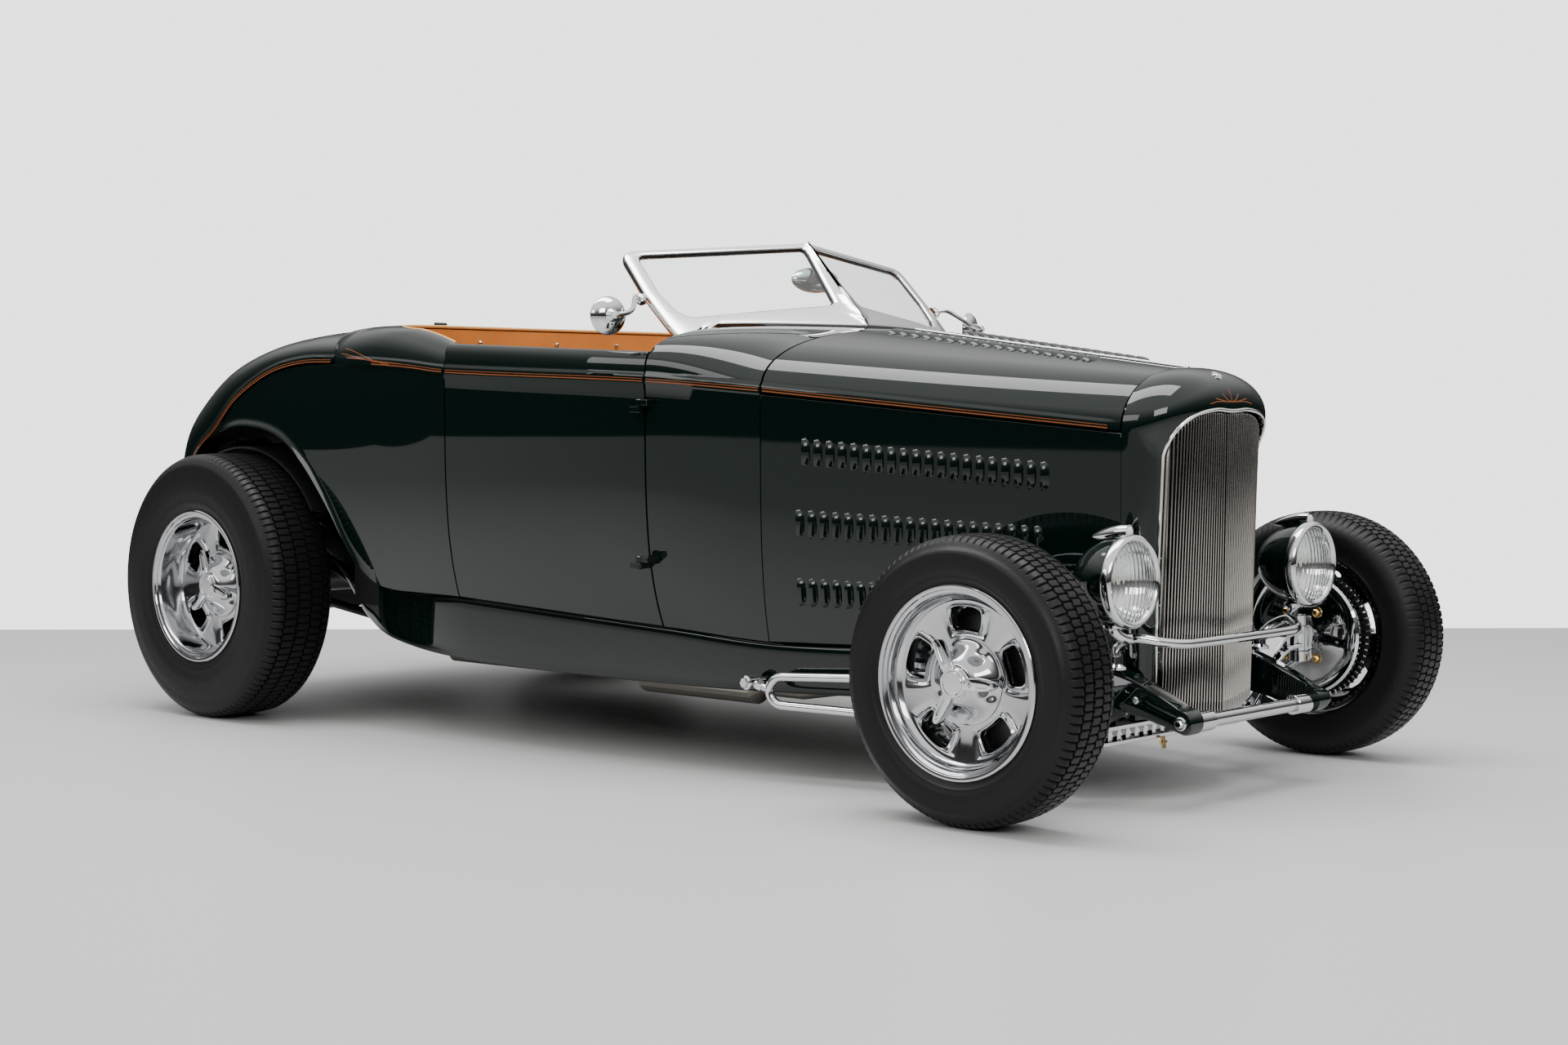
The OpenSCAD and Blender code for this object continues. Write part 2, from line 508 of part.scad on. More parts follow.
// Rolled edge around the back of the cockpit: a runs from 0 at the left door seam
// over the back, at 90, to 180 at the right one
rim_x = ra + 520;
function rim_out(a) = let (s = a < 90 ? 1 : -1, c = abs(a - 90))
  c > 40 ? let (x = lerp(deck_front + tight, door_rear - half_seam, (c - 40) / 50)) [x, s * belt_w(x), belt_z(x) + 2 * tight]
  : let (p = tail_point(0, 90 - 90 * c / 40)) [deck_front + tight, -s * p[1], p[2]];
function rim_in(a) = let (s = a < 90 ? 1 : -1, c = abs(a - 90),
  b = min(c / 62, 1) * 90, x0 = ra + 780)
  [x0 - (x0 - rim_x) * arc_out(b, 2.6) + (c > 62 ? (c - 62) / 28 * (door_rear - half_seam - x0) : 0),
   s * (642 + (c > 62 ? 6 * (c - 62) / 28 : 0)) * arc_up(b, 2.6), 1105 - 64 * pow(c / 90, 3)];
function rim_point(a, psi) = let (o = rim_out(a), e = rim_in(a), f = 1 - arc_out(psi, 2.4), g = arc_up(psi, 2.4))
  [lerp(o[0], e[0], f), lerp(o[1], e[1], f), lerp(o[2], e[2], g)];
module surround_skin()
  shell([for (i = [0:48]) let (a = 180 * i / 48) [for (j = [0:8]) rim_point(a, 90 * j / 8)]]);
module cockpit_surround() color(paint) at_car() {
  surround_skin();
  both_sides() lid_hinge(319 + tight, lid_axis[0] + 20, tail_mid_knots[0][1][2] - 0.3);
}

// ---------------------------------------------------------------- doors
function door_top_z(x) = lerp(1043, 1011, (x - door_rear) / (door_front - door_rear));
function door_top_w(x) = side_w(x, 990) - 16;
function door_skin(x, v) = v < 0.8 ? side_point(x, lerp(sill_z(x) + 1, belt_z(x), v / 0.8))
  : let (a = 90 * (v - 0.8) / 0.2) [x, -lerp(door_top_w(x) - 8, belt_w(x), arc_out(a, 2.8)), lerp(belt_z(x), door_top_z(x), arc_up(a, 2.8))];
function door_inner(x, v) = let (p = door_skin(x, min(v, 0.8))) [x, -door_top_w(x) + door_t, lerp(sill_z(x) + 1, door_top_z(x) - 2, v)];
door_rows = 14;
module door_shape() panel(
  [for (i = [0:10]) let (x = lerp(door_rear + half_seam, door_front - half_seam, i / 10)) [for (j = [0:door_rows]) door_skin(x, j / door_rows)]],
  [for (i = [0:10]) let (x = lerp(door_rear + half_seam + 9, door_front - half_seam, i / 10)) [for (j = [0:door_rows]) door_inner(x, j / door_rows)]]);
// Barrel hinges: the upper half is on the cowl and carries the pin
hinge_y = -door_front_w - 20;
hinge_heights = [505, 880];
hinge_pin_r = 4;
module hinge_half(x, z) difference() {
  union() {
    translate([door_front, hinge_y, z]) cylinder(r = 9, h = 16, $fn = 32);
    translate([min(x, door_front), hinge_y - 5, z])
      cube([abs(x - door_front), -side_w(door_front, z) - hinge_y + 5 - 2 * tight, 16]);
  }
  translate([door_front, hinge_y, z - 1]) cylinder(r = hinge_pin_r + pin_fit, h = 18, $fn = 32);
}
module cowl_hinges() for (z = hinge_heights) {
  hinge_half(door_front + 30, z + tight);
  translate([door_front, hinge_y, z - 18]) cylinder(r = hinge_pin_r, h = 34, $fn = 32);
}
module door_hinges() for (z = hinge_heights) hinge_half(door_front - 30, z - 16);
module door_right() color(paint) at_car() {
  door_shape();
  door_hinges();
}
module door_left() color(paint) at_car() mirror([0, 1, 0]) {
  door_shape();
  door_hinges();
}
trim_t = 10;
trim_gap = 0.6;
module door_trim() let (x0 = door_rear + 30, x1 = door_front - 30) panel(
  [for (i = [0:4]) let (x = lerp(x0, x1, i / 4)) [for (j = [0:4]) let (v = lerp(0.06, 0.97, j / 4)) door_inner(x, v) + [0, trim_gap, 0]]],
  [for (i = [0:4]) let (x = lerp(x0, x1, i / 4)) [for (j = [0:4]) let (v = lerp(0.06, 0.97, j / 4)) door_inner(x, v) + [0, trim_gap + trim_t, 0]]]);
module door_trim_right() color(tan_leather) at_car() door_trim();
module door_trim_left() color(tan_leather) at_car() mirror([0, 1, 0]) door_trim();

// ---------------------------------------------------------------- cockpit
seat_x = ra + 610;
seat_half = seat_w / 2;
seat_z = floor_z + floor_t + tight;
module over_tunnel() difference() {
  children();
  translate([ra, -tunnel_w - 1, floor_z]) cube([2000, 2 * tunnel_w + 2, tunnel_z - floor_z + 1]);
}
module seat_cushion() color(tan_leather) at_car() over_tunnel()
  translate([seat_x + 90, -seat_half, seat_z]) cube([470, seat_w, 180]);
// Plan outline of the cockpit wall, moved in from the rim
function wall_plan(t, first) = [for (i = [0:24]) let (p = rim_in(7.5 * i), n = p[1] / 650)
  [p[0] + t * (1 - abs(n)) + (i == 0 || i == 24 ? first : 0), p[1] - t * n * 1.1]];
module seat_back() color(tan_leather) at_car() over_tunnel() intersection() {
  translate([seat_x - 30, seat_half, seat_z]) rotate([90, 0, 0]) linear_extrude(seat_w)
    polygon([[4, 0], [118, 0], [118, 190], [56, 600], [-60, 600], [-60, 400]]);
  linear_extrude(1200) polygon(wall_plan(12.9, 200));
}
module cockpit_trim() color(tan_leather) at_car() translate([0, 0, 560]) linear_extrude(464) difference() {
  polygon(wall_plan(2, 0));
  polygon(wall_plan(12, 20));
}
module dashboard() color(paint) at_car() {
  x = door_front + 40;
  translate([x, 0, 0]) rotate([90, 0, 90]) linear_extrude(14) polygon(concat(
    [for (j = [2:12]) let (p = crown_point(x, 7.5 * j)) [p[1] * 0.976, p[2] - wall - 0.9]],
    [for (j = [11:-1:2]) let (p = crown_point(x, 7.5 * j)) [-p[1] * 0.976, p[2] - wall - 0.9]],
    [[560, 890], [-560, 890]]));
}
driver_y = 320;
wheel_mid = [door_front - 190, driver_y, 960];
column_low = [hood_rear - 45.2, driver_y, 560];
column_dir = (wheel_mid - column_low) / norm(wheel_mid - column_low);
module steering_column() color(bright) at_car() {
  rod(column_low, wheel_mid - 24 * column_dir, 19);
  rod(wheel_mid - 26 * column_dir, wheel_mid - 10 * column_dir, 9 - pin_fit);
  rod([hood_rear - 8, driver_y, 548], [fa - 250, pitman[1], 300], 10);
  translate([fa - 300, rail_in(fa - 200) - 70, box_z]) cube([100, 70 - tight, 110]);
}
module steering_wheel() color(tan_leather) at_car() translate(wheel_mid) rotate([0, -acos(column_dir[2]), 0]) {
  rotate_extrude($fn = 96) translate([steering_wheel_r, 0]) circle(r = 13, $fn = 32);
  difference() {
    union() {
      for (a = [0, 120, 240]) rotate([0, 0, a]) translate([20, -11, -4]) cube([steering_wheel_r - 20, 22, 8]);
      translate([0, 0, -18]) cylinder(r = 34, h = 34, $fn = 64);
    }
    translate([0, 0, -30]) cylinder(r = 9, h = 21, $fn = 32);
  }
}

// ---------------------------------------------------------------- steering
arm = 130;
tie_z = 136;
drag_z = 109;
pitman = [fa - 250, 268];
box_z = 205;
module arm_eye(p, z) { translate([p[0], p[1], z]) cylinder(r = 16, h = 12, $fn = 40); }
module pitman_arm() color(bright) at_car() {
  translate([pitman[0], pitman[1], 134]) cylinder(r = 14, h = box_z - tight - 134, $fn = 40);
  rod([pitman[0], pitman[1], 146], [pitman[0] - arm, pitman[1], 146], 11);
  translate([pitman[0] - arm, pitman[1], drag_z + rod_r + 3.5]) cylinder(r = 12, h = 30, $fn = 40);
}
module drag_link() color(bright) at_car() {
  rod([pitman[0] - arm, pitman[1], drag_z], [fa - arm, -kingpin_y, drag_z], rod_r);
  ball([pitman[0] - arm, pitman[1], drag_z], rod_r + 3);
  ball([fa - arm, -kingpin_y, drag_z], rod_r + 3);
}
module tie_rod() color(bright) at_car() {
  rod([fa - arm, -kingpin_y + 22, tie_z], [fa - arm, kingpin_y - 22, tie_z], rod_r);
  both_sides() difference() {
    translate([fa - arm, -kingpin_y, tie_z - rod_r]) cylinder(r = 23, h = 2 * rod_r, $fn = 40);
    translate([fa - arm, -kingpin_y, tie_z - 20]) cylinder(r = 9 + pin_fit, h = 40, $fn = 40);
  }
}
drum_r = 150;
backing_y = 27;
module knuckle_shape() translate([fa, -kingpin_y, 0]) {
  translate([0, 0, axle_end_z - 60]) cylinder(r = kingpin_r, h = 120, $fn = 48);
  translate([0, 0, axle_end_z + 33]) cylinder(r = 24, h = 24, $fn = 48);
  translate([0, 0, axle_end_z - 57]) cylinder(r = 24, h = 24, $fn = 48);
  translate([-20, -backing_y - 6, axle_end_z - 57]) cube([40, 8, 114]);
  translate([-20, -backing_y, axle_end_z + 33]) cube([40, 20, 24]);
  translate([-20, -backing_y, axle_end_z - 57]) cube([40, 20, 24]);
  translate([0, -backing_y - 4, front_tyre_r]) rotate([90, 0, 0]) cylinder(r = drum_r, h = 10, $fn = 120);
  translate([0, -backing_y - 10, front_tyre_r]) rotate([90, 0, 0])
    cylinder(r = hub_bore_r - pin_fit, h = front_track / 2 + front_disc - 6 - kingpin_y - backing_y - 10, $fn = 48);
  rod([0, 0, axle_end_z - 50], [-arm, 0, tie_z + rod_r + 10], 12);
  translate([-arm, 0, drag_z + rod_r + 3.5]) cylinder(r = 9, h = tie_z - drag_z + 16, $fn = 40);
}
module knuckle_right() color(bright) at_car() knuckle_shape();
module knuckle_left() color(bright) at_car() mirror([0, 1, 0]) knuckle_shape();

// ---------------------------------------------------------------- windshield
shield_top = [fa - 1127, 0, 1301];
shield_down = [0.6894, 0, -0.7244];
shield_out = [-0.1653, -0.9736, -0.1573];
shield_face = cross(shield_down, shield_out);
module on_shield() multmatrix([
  [shield_down[0], shield_out[0], shield_face[0], shield_top[0]],
  [shield_down[1], shield_out[1], shield_face[1], shield_top[1]],
  [shield_down[2], shield_out[2], shield_face[2], shield_top[2]],
  [0, 0, 0, 1]]) children();
function shield_at(a, b, c) = shield_top + a * shield_down + b * shield_out + c * shield_face;
function crown_height(x, y) = let (q = min(abs(y) / belt_w(x), 1), n = crown_n(x))
  belt_z(x) + (crown_z(x) - belt_z(x)) * pow(1 - pow(q, n), 1 / n);
// Distance down the frame where its lower inner edge comes to the cowl
function skirt_low(b, lo = 180, hi = 330, k = 14) = k == 0 ? lo
  : let (mid = (lo + hi) / 2, p = shield_at(mid, b, shield_t / 2))
    p[2] - crown_height(p[0], p[1]) > skirt_gap ? skirt_low(b, mid, hi, k - 1) : skirt_low(b, lo, mid, k - 1);
skirt_gap = 0.8;
shield_outline = concat([[0, -30], [-3, 20], [-58, 522], [-50, 548], [-30, 556], [85, 566], [200, 552], [250, 533]],
  [for (b = [500:-50:0]) [skirt_low(b), b]], [[skirt_low(0), -40]]);
pane_outline = [[16, 20], [-42, 505], [-38, 520], [-24, 527], [85, 540], [170, 528], [206, 502], [214, 480], [246, 56], [238, 40], [36, 12], [22, 12]];
module shield_half() difference() {
  on_shield() translate([0, 0, -shield_t / 2]) linear_extrude(shield_t) difference() {
    polygon(shield_outline);
    polygon(pane_outline);
  }
  translate([fa - 1500, 0, 800]) cube([800, 400, 800]);
}
module windshield_frame() color(bright) at_car() {
  shield_half();
  mirror([0, 1, 0]) shield_half();
}
module windshield_glass() color([0.7, 0.85, 0.8, 0.3]) at_car() both_sides()
  on_shield() translate([0, 0, -glass_t / 2]) linear_extrude(glass_t) translate([86, 268]) scale([0.9975, 0.9975, 1]) translate([-86, -268]) polygon(pane_outline);
mirror_mid = [fa - 1121, -704, 1097];
module mirrors() color(bright) at_car() both_sides() {
  translate(mirror_mid) rotate([0, 90, -16]) cylinder(r = mirror_r, h = 14, center = true, $fn = 64);
  rod(mirror_mid, [fa - 1153, -566, 1141], 7);
  translate([fa - 1153, -567.8, 1141]) rotate([90, 0, 0]) cylinder(r = 14, h = 30, center = true, $fn = 40);
}

// ---------------------------------------------------------------- rear end
hub_gap = 0.05;
module rear_axle() color(alloy) at_car() difference() {
  union() {
    translate([ra, 0, rear_tyre_r]) rotate([90, 0, 0]) cylinder(r = 38, h = 1260, center = true, $fn = 64);
    translate([ra, 0, rear_tyre_r]) sphere(r = 128, $fn = 64);
    both_sides() translate([ra, -628, rear_tyre_r]) rotate([90, 0, 0]) cylinder(r = drum_r, h = 44, $fn = 120);
    both_sides() translate([ra, -660, rear_tyre_r]) rotate([90, 0, 0])
      cylinder(r = hub_bore_r - pin_fit, h = rear_track / 2 + rear_disc - 6 - 660, $fn = 48);
  }
  translate([ra + 130, 0, rear_tyre_r]) cube([10, 200, 200], center = true);
}
module ladder_bars() color(black) at_car() both_sides() {
  bush = [deck_front + 10 - 20 - 22 - tight, -430, floor_z - 24];
  for (up = [-60, 60]) rod([ra + 55, -430, rear_tyre_r + up], bush + [up / 12, 0, up / 12], 13);
  translate([ra + 38 + tight, -440, rear_tyre_r - 75]) cube([30, 20, 150]);
  translate(bush - [0, 18, 0]) rotate([-90, 0, 0]) cylinder(r = 22, h = 36, $fn = 40);
}
module coilovers() color(bright) at_car() both_sides() {
  rod([ra - 45.1, -380, rear_tyre_r + 22], [ra - 120, -330, 640], 18);
  rod([ra - 55.1, -372, rear_tyre_r + 62], [ra - 104, -340, 590], 34);
}
module fuel_tank() color(paint) at_car() translate([tail_x + 36 + tight, -400, 250]) cube([168, 800, 410 - 26 - tight - 250]);
module tail_lamps() color([0.6, 0.02, 0.02]) at_car() both_sides()
  translate([tail_x + 2, -455, max(rail_top(tail_x + 2), rail_top(tail_x + 52)) + 34 + tight]) rotate([0, 90, 0]) cylinder(r = 34, h = 50, $fn = 64);

// ---------------------------------------------------------------- wheels
// Profiles are revolved about the axle line: radius first, then distance outboard
module tyre_shape(r, w, rim, lip) rotate_extrude($fn = 144) {
  h = w / 2;
  polygon([
    [rim - 14, -lip + 6], [rim - 6, -lip - 2], [rim + 12, -h + 8], [lerp(rim, r, 0.35), -h], [lerp(rim, r, 0.62), -h + 1],
    [r - 26, -h + 10], [r - 9, -h + 24], [r - 1.5, -h + 46], [r, 0], [r - 1.5, h - 46], [r - 9, h - 24],
    [r - 26, h - 10], [lerp(rim, r, 0.62), h - 1], [lerp(rim, r, 0.35), h], [rim + 12, h - 8], [rim - 6, lip + 2], [rim - 14, lip - 6]
  ]);
}
hub_bore_r = 20;
module wheel_shape(rim, lip, disc, hub) difference() {
  rotate_extrude($fn = 144) polygon([
    [hub_bore_r, disc - 30], [70, disc - 30], [100, disc - 16], [rim - 34, disc - 14], [rim - 30, disc - 30], [rim - 34, -lip + 20],
    [rim - 16, -lip + 4], [rim - 15.6, -lip + 4.5], [rim - 15.6, lip - 6], [rim - 7.4, lip + 2], [rim, lip + 5], [rim - 4, lip + 8],
    [rim - 18, lip - 4], [rim - 26, disc + 20], [rim - 40, disc], [96, disc - 4], [74, disc + 10], [56, hub - 4], [50, hub],
    [0, hub + 2], [0, disc - 4], [hub_bore_r, disc - 4]
  ]);
  for (a = [0:wheel_windows - 1]) rotate([0, 0, a * 360 / wheel_windows]) translate([0, 0, disc - 60]) linear_extrude(90) polygon([
    [96, -34], [100, -38], [rim - 50, -44], [rim - 44, -38], [rim - 42, 0], [rim - 44, 38], [rim - 50, 44], [100, 38], [96, 34]
  ]);
}
module place_wheel(x, y, z) translate([x, y, z]) rotate([90, 0, 0]) children();
module front_tyre() place_wheel(fa, -front_track / 2, front_tyre_r) tyre_shape(front_tyre_r, front_tyre_w, front_rim_r, 70);
module rear_tyre() place_wheel(ra, -rear_track / 2, rear_tyre_r) tyre_shape(rear_tyre_r, rear_tyre_w, rear_rim_r, 98);
module front_wheel() place_wheel(fa, -front_track / 2, front_tyre_r) wheel_shape(front_rim_r, 70, front_disc, 82);
front_disc = 34;
rear_disc = 20;
module rear_wheel() place_wheel(ra, -rear_track / 2, rear_tyre_r) wheel_shape(rear_rim_r, 98, rear_disc, 96);
module front_tyre_right() color(black) at_car() front_tyre();
module front_tyre_left() color(black) at_car() mirror([0, 1, 0]) front_tyre();
module rear_tyre_right() color(black) at_car() rear_tyre();
module rear_tyre_left() color(black) at_car() mirror([0, 1, 0]) rear_tyre();
module front_wheel_right() color(alloy) at_car() front_wheel();
module front_wheel_left() color(alloy) at_car() mirror([0, 1, 0]) front_wheel();
module rear_wheel_right() color(alloy) at_car() rear_wheel();
module rear_wheel_left() color(alloy) at_car() mirror([0, 1, 0]) rear_wheel();

frame_rails();
crossmembers();
spreader_bars();
front_axle();
front_spring();
hairpins();
headlight_bar();
headlight_shells();
headlight_lenses();
grille_shell();
grille_insert();
radiator();
engine();
transmission();
exhaust();
hood_sides();
hood_hinge();
hood_top_right();
hood_top_left();
cowl();
firewall();
floor_pan();
rear_bulkhead();
wheel_tubs();
quarter_panels();
cockpit_surround();
tail_panel();
deck_lid();
seat_cushion();
seat_back();
cockpit_trim();
door_right();
door_left();
door_trim_right();
door_trim_left();
dashboard();
steering_column();
steering_wheel();
pitman_arm();
drag_link();
tie_rod();
knuckle_right();
knuckle_left();
windshield_frame();
windshield_glass();
mirrors();
rear_axle();
ladder_bars();
coilovers();
fuel_tank();
tail_lamps();
front_tyre_right();
front_tyre_left();
rear_tyre_right();
rear_tyre_left();
front_wheel_right();
front_wheel_left();
rear_wheel_right();
rear_wheel_left();
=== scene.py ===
"""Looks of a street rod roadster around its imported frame, in metres.

The body surfaces repeat the part's own formulas at a finer step. Lengths in the
classes are in millimetres on the car's own axes: X forward from the middle of the
wheelbase, Y to the left, Z up. `Shape.build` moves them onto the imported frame.
"""
import logging
import math
from dataclasses import dataclass, field
from enum import Enum
from typing import Callable, Sequence

import bpy
import numpy as np
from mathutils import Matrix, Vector


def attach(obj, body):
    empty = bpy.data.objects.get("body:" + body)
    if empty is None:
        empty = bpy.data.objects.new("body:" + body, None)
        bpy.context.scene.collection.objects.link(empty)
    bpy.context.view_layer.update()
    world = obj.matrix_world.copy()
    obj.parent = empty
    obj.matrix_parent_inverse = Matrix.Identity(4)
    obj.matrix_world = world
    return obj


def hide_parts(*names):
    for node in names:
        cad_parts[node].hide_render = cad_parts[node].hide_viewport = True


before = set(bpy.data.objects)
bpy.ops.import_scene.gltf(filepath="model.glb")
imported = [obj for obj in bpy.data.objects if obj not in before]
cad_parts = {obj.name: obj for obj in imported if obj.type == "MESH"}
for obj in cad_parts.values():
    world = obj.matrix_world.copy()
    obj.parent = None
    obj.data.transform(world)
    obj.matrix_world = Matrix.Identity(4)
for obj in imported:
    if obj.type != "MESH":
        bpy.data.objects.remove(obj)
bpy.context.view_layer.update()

LOG = logging.getLogger("roadster")
Array = np.ndarray

WHEELBASE = 2692.0
FA = WHEELBASE / 2
RA = -WHEELBASE / 2
TAIL_X = RA - 523.0
CENTRE_X = (FA + 307.0 + TAIL_X) / 2
HOOD_FRONT = FA + 39.0
HOOD_REAR = FA - 746.0
DOOR_FRONT = FA - 1046.0
DOOR_REAR = RA + 946.0
DECK_FRONT = RA + 470.0
COCKPIT_X = RA + 780.0
DECK_HALF = 430.0
LOW_SILL = 390.0
DOOR_BELT, DOOR_CROWN = 0.8, 0.2
NOSE_BELT, NOSE_CROWN = 0.55, 0.45
SEAM = 2.5
WALL = 12.0


class Side(Enum):
    """The two sides of the car."""

    RIGHT = "right"
    LEFT = "left"

    @property
    def y(self) -> float:
        """Factor that carries a right-side shape to this side."""
        return 1.0 if self is Side.RIGHT else -1.0


# ------------------------------------------------------------------ finishes
class Kind(Enum):
    """How a finish meets the light."""

    METAL = "metal"
    PAINT = "paint"
    PLAIN = "plain"
    GLASS = "glass"
    LEATHER = "leather"
    RUBBER = "rubber"
    FLUTED = "fluted"
    BRUSHED = "brushed"


KIND_INPUTS = {
    Kind.METAL: {"Metallic": 1.0},
    Kind.BRUSHED: {"Metallic": 1.0},
    Kind.RUBBER: {"Specular IOR Level": 0.22},
    Kind.PAINT: {"Coat Weight": 1.0, "Coat Roughness": 0.02, "Specular IOR Level": 0.0},
    Kind.GLASS: {"Transmission Weight": 1.0, "IOR": 1.45},
    Kind.FLUTED: {"Transmission Weight": 1.0, "IOR": 1.45},
}
MOTTLE = {Kind.PAINT: (0.85, 1.15), Kind.LEATHER: (0.72, 1.22)}
GRAIN_CELLS = 420.0
FLUTES = 22.0
FLUTE_WANDER = 0.4


def feed(tree: bpy.types.NodeTree, node: bpy.types.Node, key: str | int, value: object) -> None:
    """Sets a node's input, or links an output socket to it.

    Args:
        tree: node tree that holds the node.
        node: node whose input is fed.
        key: name or number of the input.
        value: the value, or the output socket to link.
    """
    if isinstance(value, bpy.types.NodeSocket):
        tree.links.new(value, node.inputs[key])
    else:
        node.inputs[key].default_value = value


def add_node(tree: bpy.types.NodeTree, kind: str, **inputs: object) -> bpy.types.Node:
    """Adds a shader node and feeds its inputs.

    Args:
        tree: node tree that gets it.
        kind: its type, without the word ShaderNode in front.
        **inputs: a value or an output socket by input name, with _ for a space.

    Returns:
        The new node.
    """
    node = tree.nodes.new(f"ShaderNode{kind}")
    for word, value in inputs.items():
        feed(tree, node, word.replace("_", " "), value)
    return node


def add_mix(tree: bpy.types.NodeTree, factor: object, low: object, high: object) -> bpy.types.NodeSocket:
    """Adds a colour mix and returns its result.

    Args:
        tree: node tree that gets it.
        factor: 0 for low, 1 for high, or a socket.
        low: colour or socket at factor 0.
        high: colour or socket at factor 1.

    Returns:
        The output socket with the mixed colour.
    """
    node = add_node(tree, "Mix")
    node.data_type = "RGBA"
    for key, value in (("A", low), ("B", high), ("Factor", factor)):
        feed(tree, node, key, value)
    return node.outputs["Result"]


def add_math(tree: bpy.types.NodeTree, operation: str, first: object, second: object) -> bpy.types.NodeSocket:
    """Adds a math node and returns its value.

    Args:
        tree: node tree that gets it.
        operation: name of the operation.
        first: first operand, a number or a socket.
        second: second operand, a number or a socket.

    Returns:
        The output socket with the value.
    """
    node = add_node(tree, "Math")
    node.operation = operation
    feed(tree, node, 0, first)
    feed(tree, node, 1, second)
    return node.outputs["Value"]


@dataclass(frozen=True)
class Finish:
    """One surface finish.

    Attributes:
        name: material name.
        slot: slot of the record that it stands for; not used.
        kind: how it meets the light.
        colour: linear base colour.
        rough: base roughness.
        spread: how far the roughness wanders.
        scale: size of the wandering pattern, in cells a metre.
        bump: height of the fine relief, in metres.
    """

    name: str
    slot: str
    kind: Kind
    colour: tuple[float, float, float]
    rough: float = 0.3
    spread: float = 0.04
    scale: float = 40.0
    bump: float = 0.0

    def material(self) -> bpy.types.Material:
        """Returns the node material, made on first use.

        Returns:
            The material.
        """
        old = bpy.data.materials.get(self.name)
        if old is not None:
            return old
        mat = bpy.data.materials.new(self.name)
        mat.use_nodes = True
        tree = mat.node_tree
        shader = tree.nodes["Principled BSDF"]
        place = add_node(tree, "TexCoord").outputs["Object"]
        noise = add_node(tree, "TexNoise", Scale=self.scale, Detail=3.0, Vector=place).outputs["Fac"]
        span = add_node(tree, "MapRange", To_Min=max(self.rough - self.spread, 0.0),
                        To_Max=self.rough + self.spread, Value=noise)
        feed(tree, shader, "Base Color", (*self.colour, 1.0))
        feed(tree, shader, "Roughness", span.outputs["Result"])
        for key, value in KIND_INPUTS.get(self.kind, {}).items():
            feed(tree, shader, key, value)
        if self.kind in MOTTLE:
            low, high = ((*[min(c * f, 1.0) for c in self.colour], 1.0) for f in MOTTLE[self.kind])
            feed(tree, shader, "Base Color", add_mix(tree, noise, low, high))
        relief = noise
        if self.kind is Kind.FLUTED:
            wave = add_node(tree, "TexWave", Scale=FLUTES, Distortion=FLUTE_WANDER, Vector=place)
            wave.bands_direction = "Y"
            relief = wave.outputs["Fac"]
        if self.kind is Kind.LEATHER:
            relief = add_node(tree, "TexVoronoi", Scale=GRAIN_CELLS, Vector=place).outputs["Distance"]
        if self.bump > 0.0:
            bump = add_node(tree, "Bump", Strength=1.0, Distance=self.bump, Height=relief)
            feed(tree, shader, "Normal", bump.outputs["Normal"])
        return mat


PAINT = Finish("body paint", "body_paint", Kind.PAINT, (0.0010, 0.0052, 0.0042), 0.30, 0.02, 60.0)
STRIPE = Finish("copper stripe", "body_paint", Kind.PAINT, (0.24, 0.075, 0.03), 0.4, 0.05, 90.0)
CHROME = Finish("chrome", "bright_chrome", Kind.METAL, (0.62, 0.625, 0.64), 0.03, 0.02, 30.0)
ALLOY = Finish("polished alloy", "polished_alloy", Kind.METAL, (0.46, 0.465, 0.48), 0.09, 0.03, 18.0)
STEEL = Finish("polished steel", "polished_steel", Kind.BRUSHED, (0.86, 0.86, 0.85), 0.16, 0.05, 25.0)
GRILLE = Finish("grille steel", "polished_steel", Kind.BRUSHED, (0.50, 0.48, 0.45), 0.18, 0.03, 30.0)
SHIELD = Finish("shield frame", "polished_steel", Kind.METAL, (0.97, 0.97, 0.965), 0.14, 0.04, 12.0)
SCREEN = Finish("screen glass", "screen_glass", Kind.GLASS, (0.9, 0.97, 0.94), 0.0, 0.0, 10.0)
LENS = Finish("lens glass", "lens_glass", Kind.FLUTED, (0.94, 0.96, 0.95), 0.03, 0.02, 20.0, 0.0009)
REFLECTOR = Finish("lamp bowl", "bright_chrome", Kind.METAL, (0.68, 0.69, 0.68), 0.06, 0.03, 60.0)
AMBER = Finish("signal lens", "lens_glass", Kind.PLAIN, (0.75, 0.72, 0.66), 0.15, 0.04, 30.0)
RED = Finish("tail lens", "red_lens", Kind.PLAIN, (0.42, 0.006, 0.008), 0.12, 0.03, 30.0, 0.0004)
TREAD = Finish("tyre tread", "tyre_rubber", Kind.RUBBER, (0.0042, 0.0042, 0.0044), 0.44, 0.10, 90.0, 0.0003)
BLACK = Finish("satin black", "black_satin", Kind.PLAIN, (0.009, 0.009, 0.0095), 0.42, 0.08, 45.0)
# Near-black finish of painted shade, for the louver mouths, the sheet behind the grille bars and the vent
# lid's gap.
PAINTED_SHADE = Finish("painted shade", "black_satin", Kind.PLAIN, (0.002, 0.002, 0.002), 0.8, 0.05, 30.0)
LEATHER = Finish("tan leather", "leather_tan", Kind.LEATHER, (0.50, 0.155, 0.022), 0.42, 0.08, 9.0, 0.0003)
PIPING = Finish("pale piping", "leather_tan", Kind.LEATHER, (0.62, 0.30, 0.09), 0.45, 0.05, 12.0, 0.0002)
CARPET = Finish("carpet", "leather_tan", Kind.PLAIN, (0.07, 0.028, 0.010), 0.9, 0.05, 900.0, 0.003)
BRASS = Finish("brass", "bright_chrome", Kind.METAL, (0.62, 0.42, 0.17), 0.25, 0.08, 60.0)
IRON = Finish("engine paint", "cast_iron_paint", Kind.PLAIN, (0.02, 0.022, 0.022), 0.45, 0.1, 50.0, 0.0006)
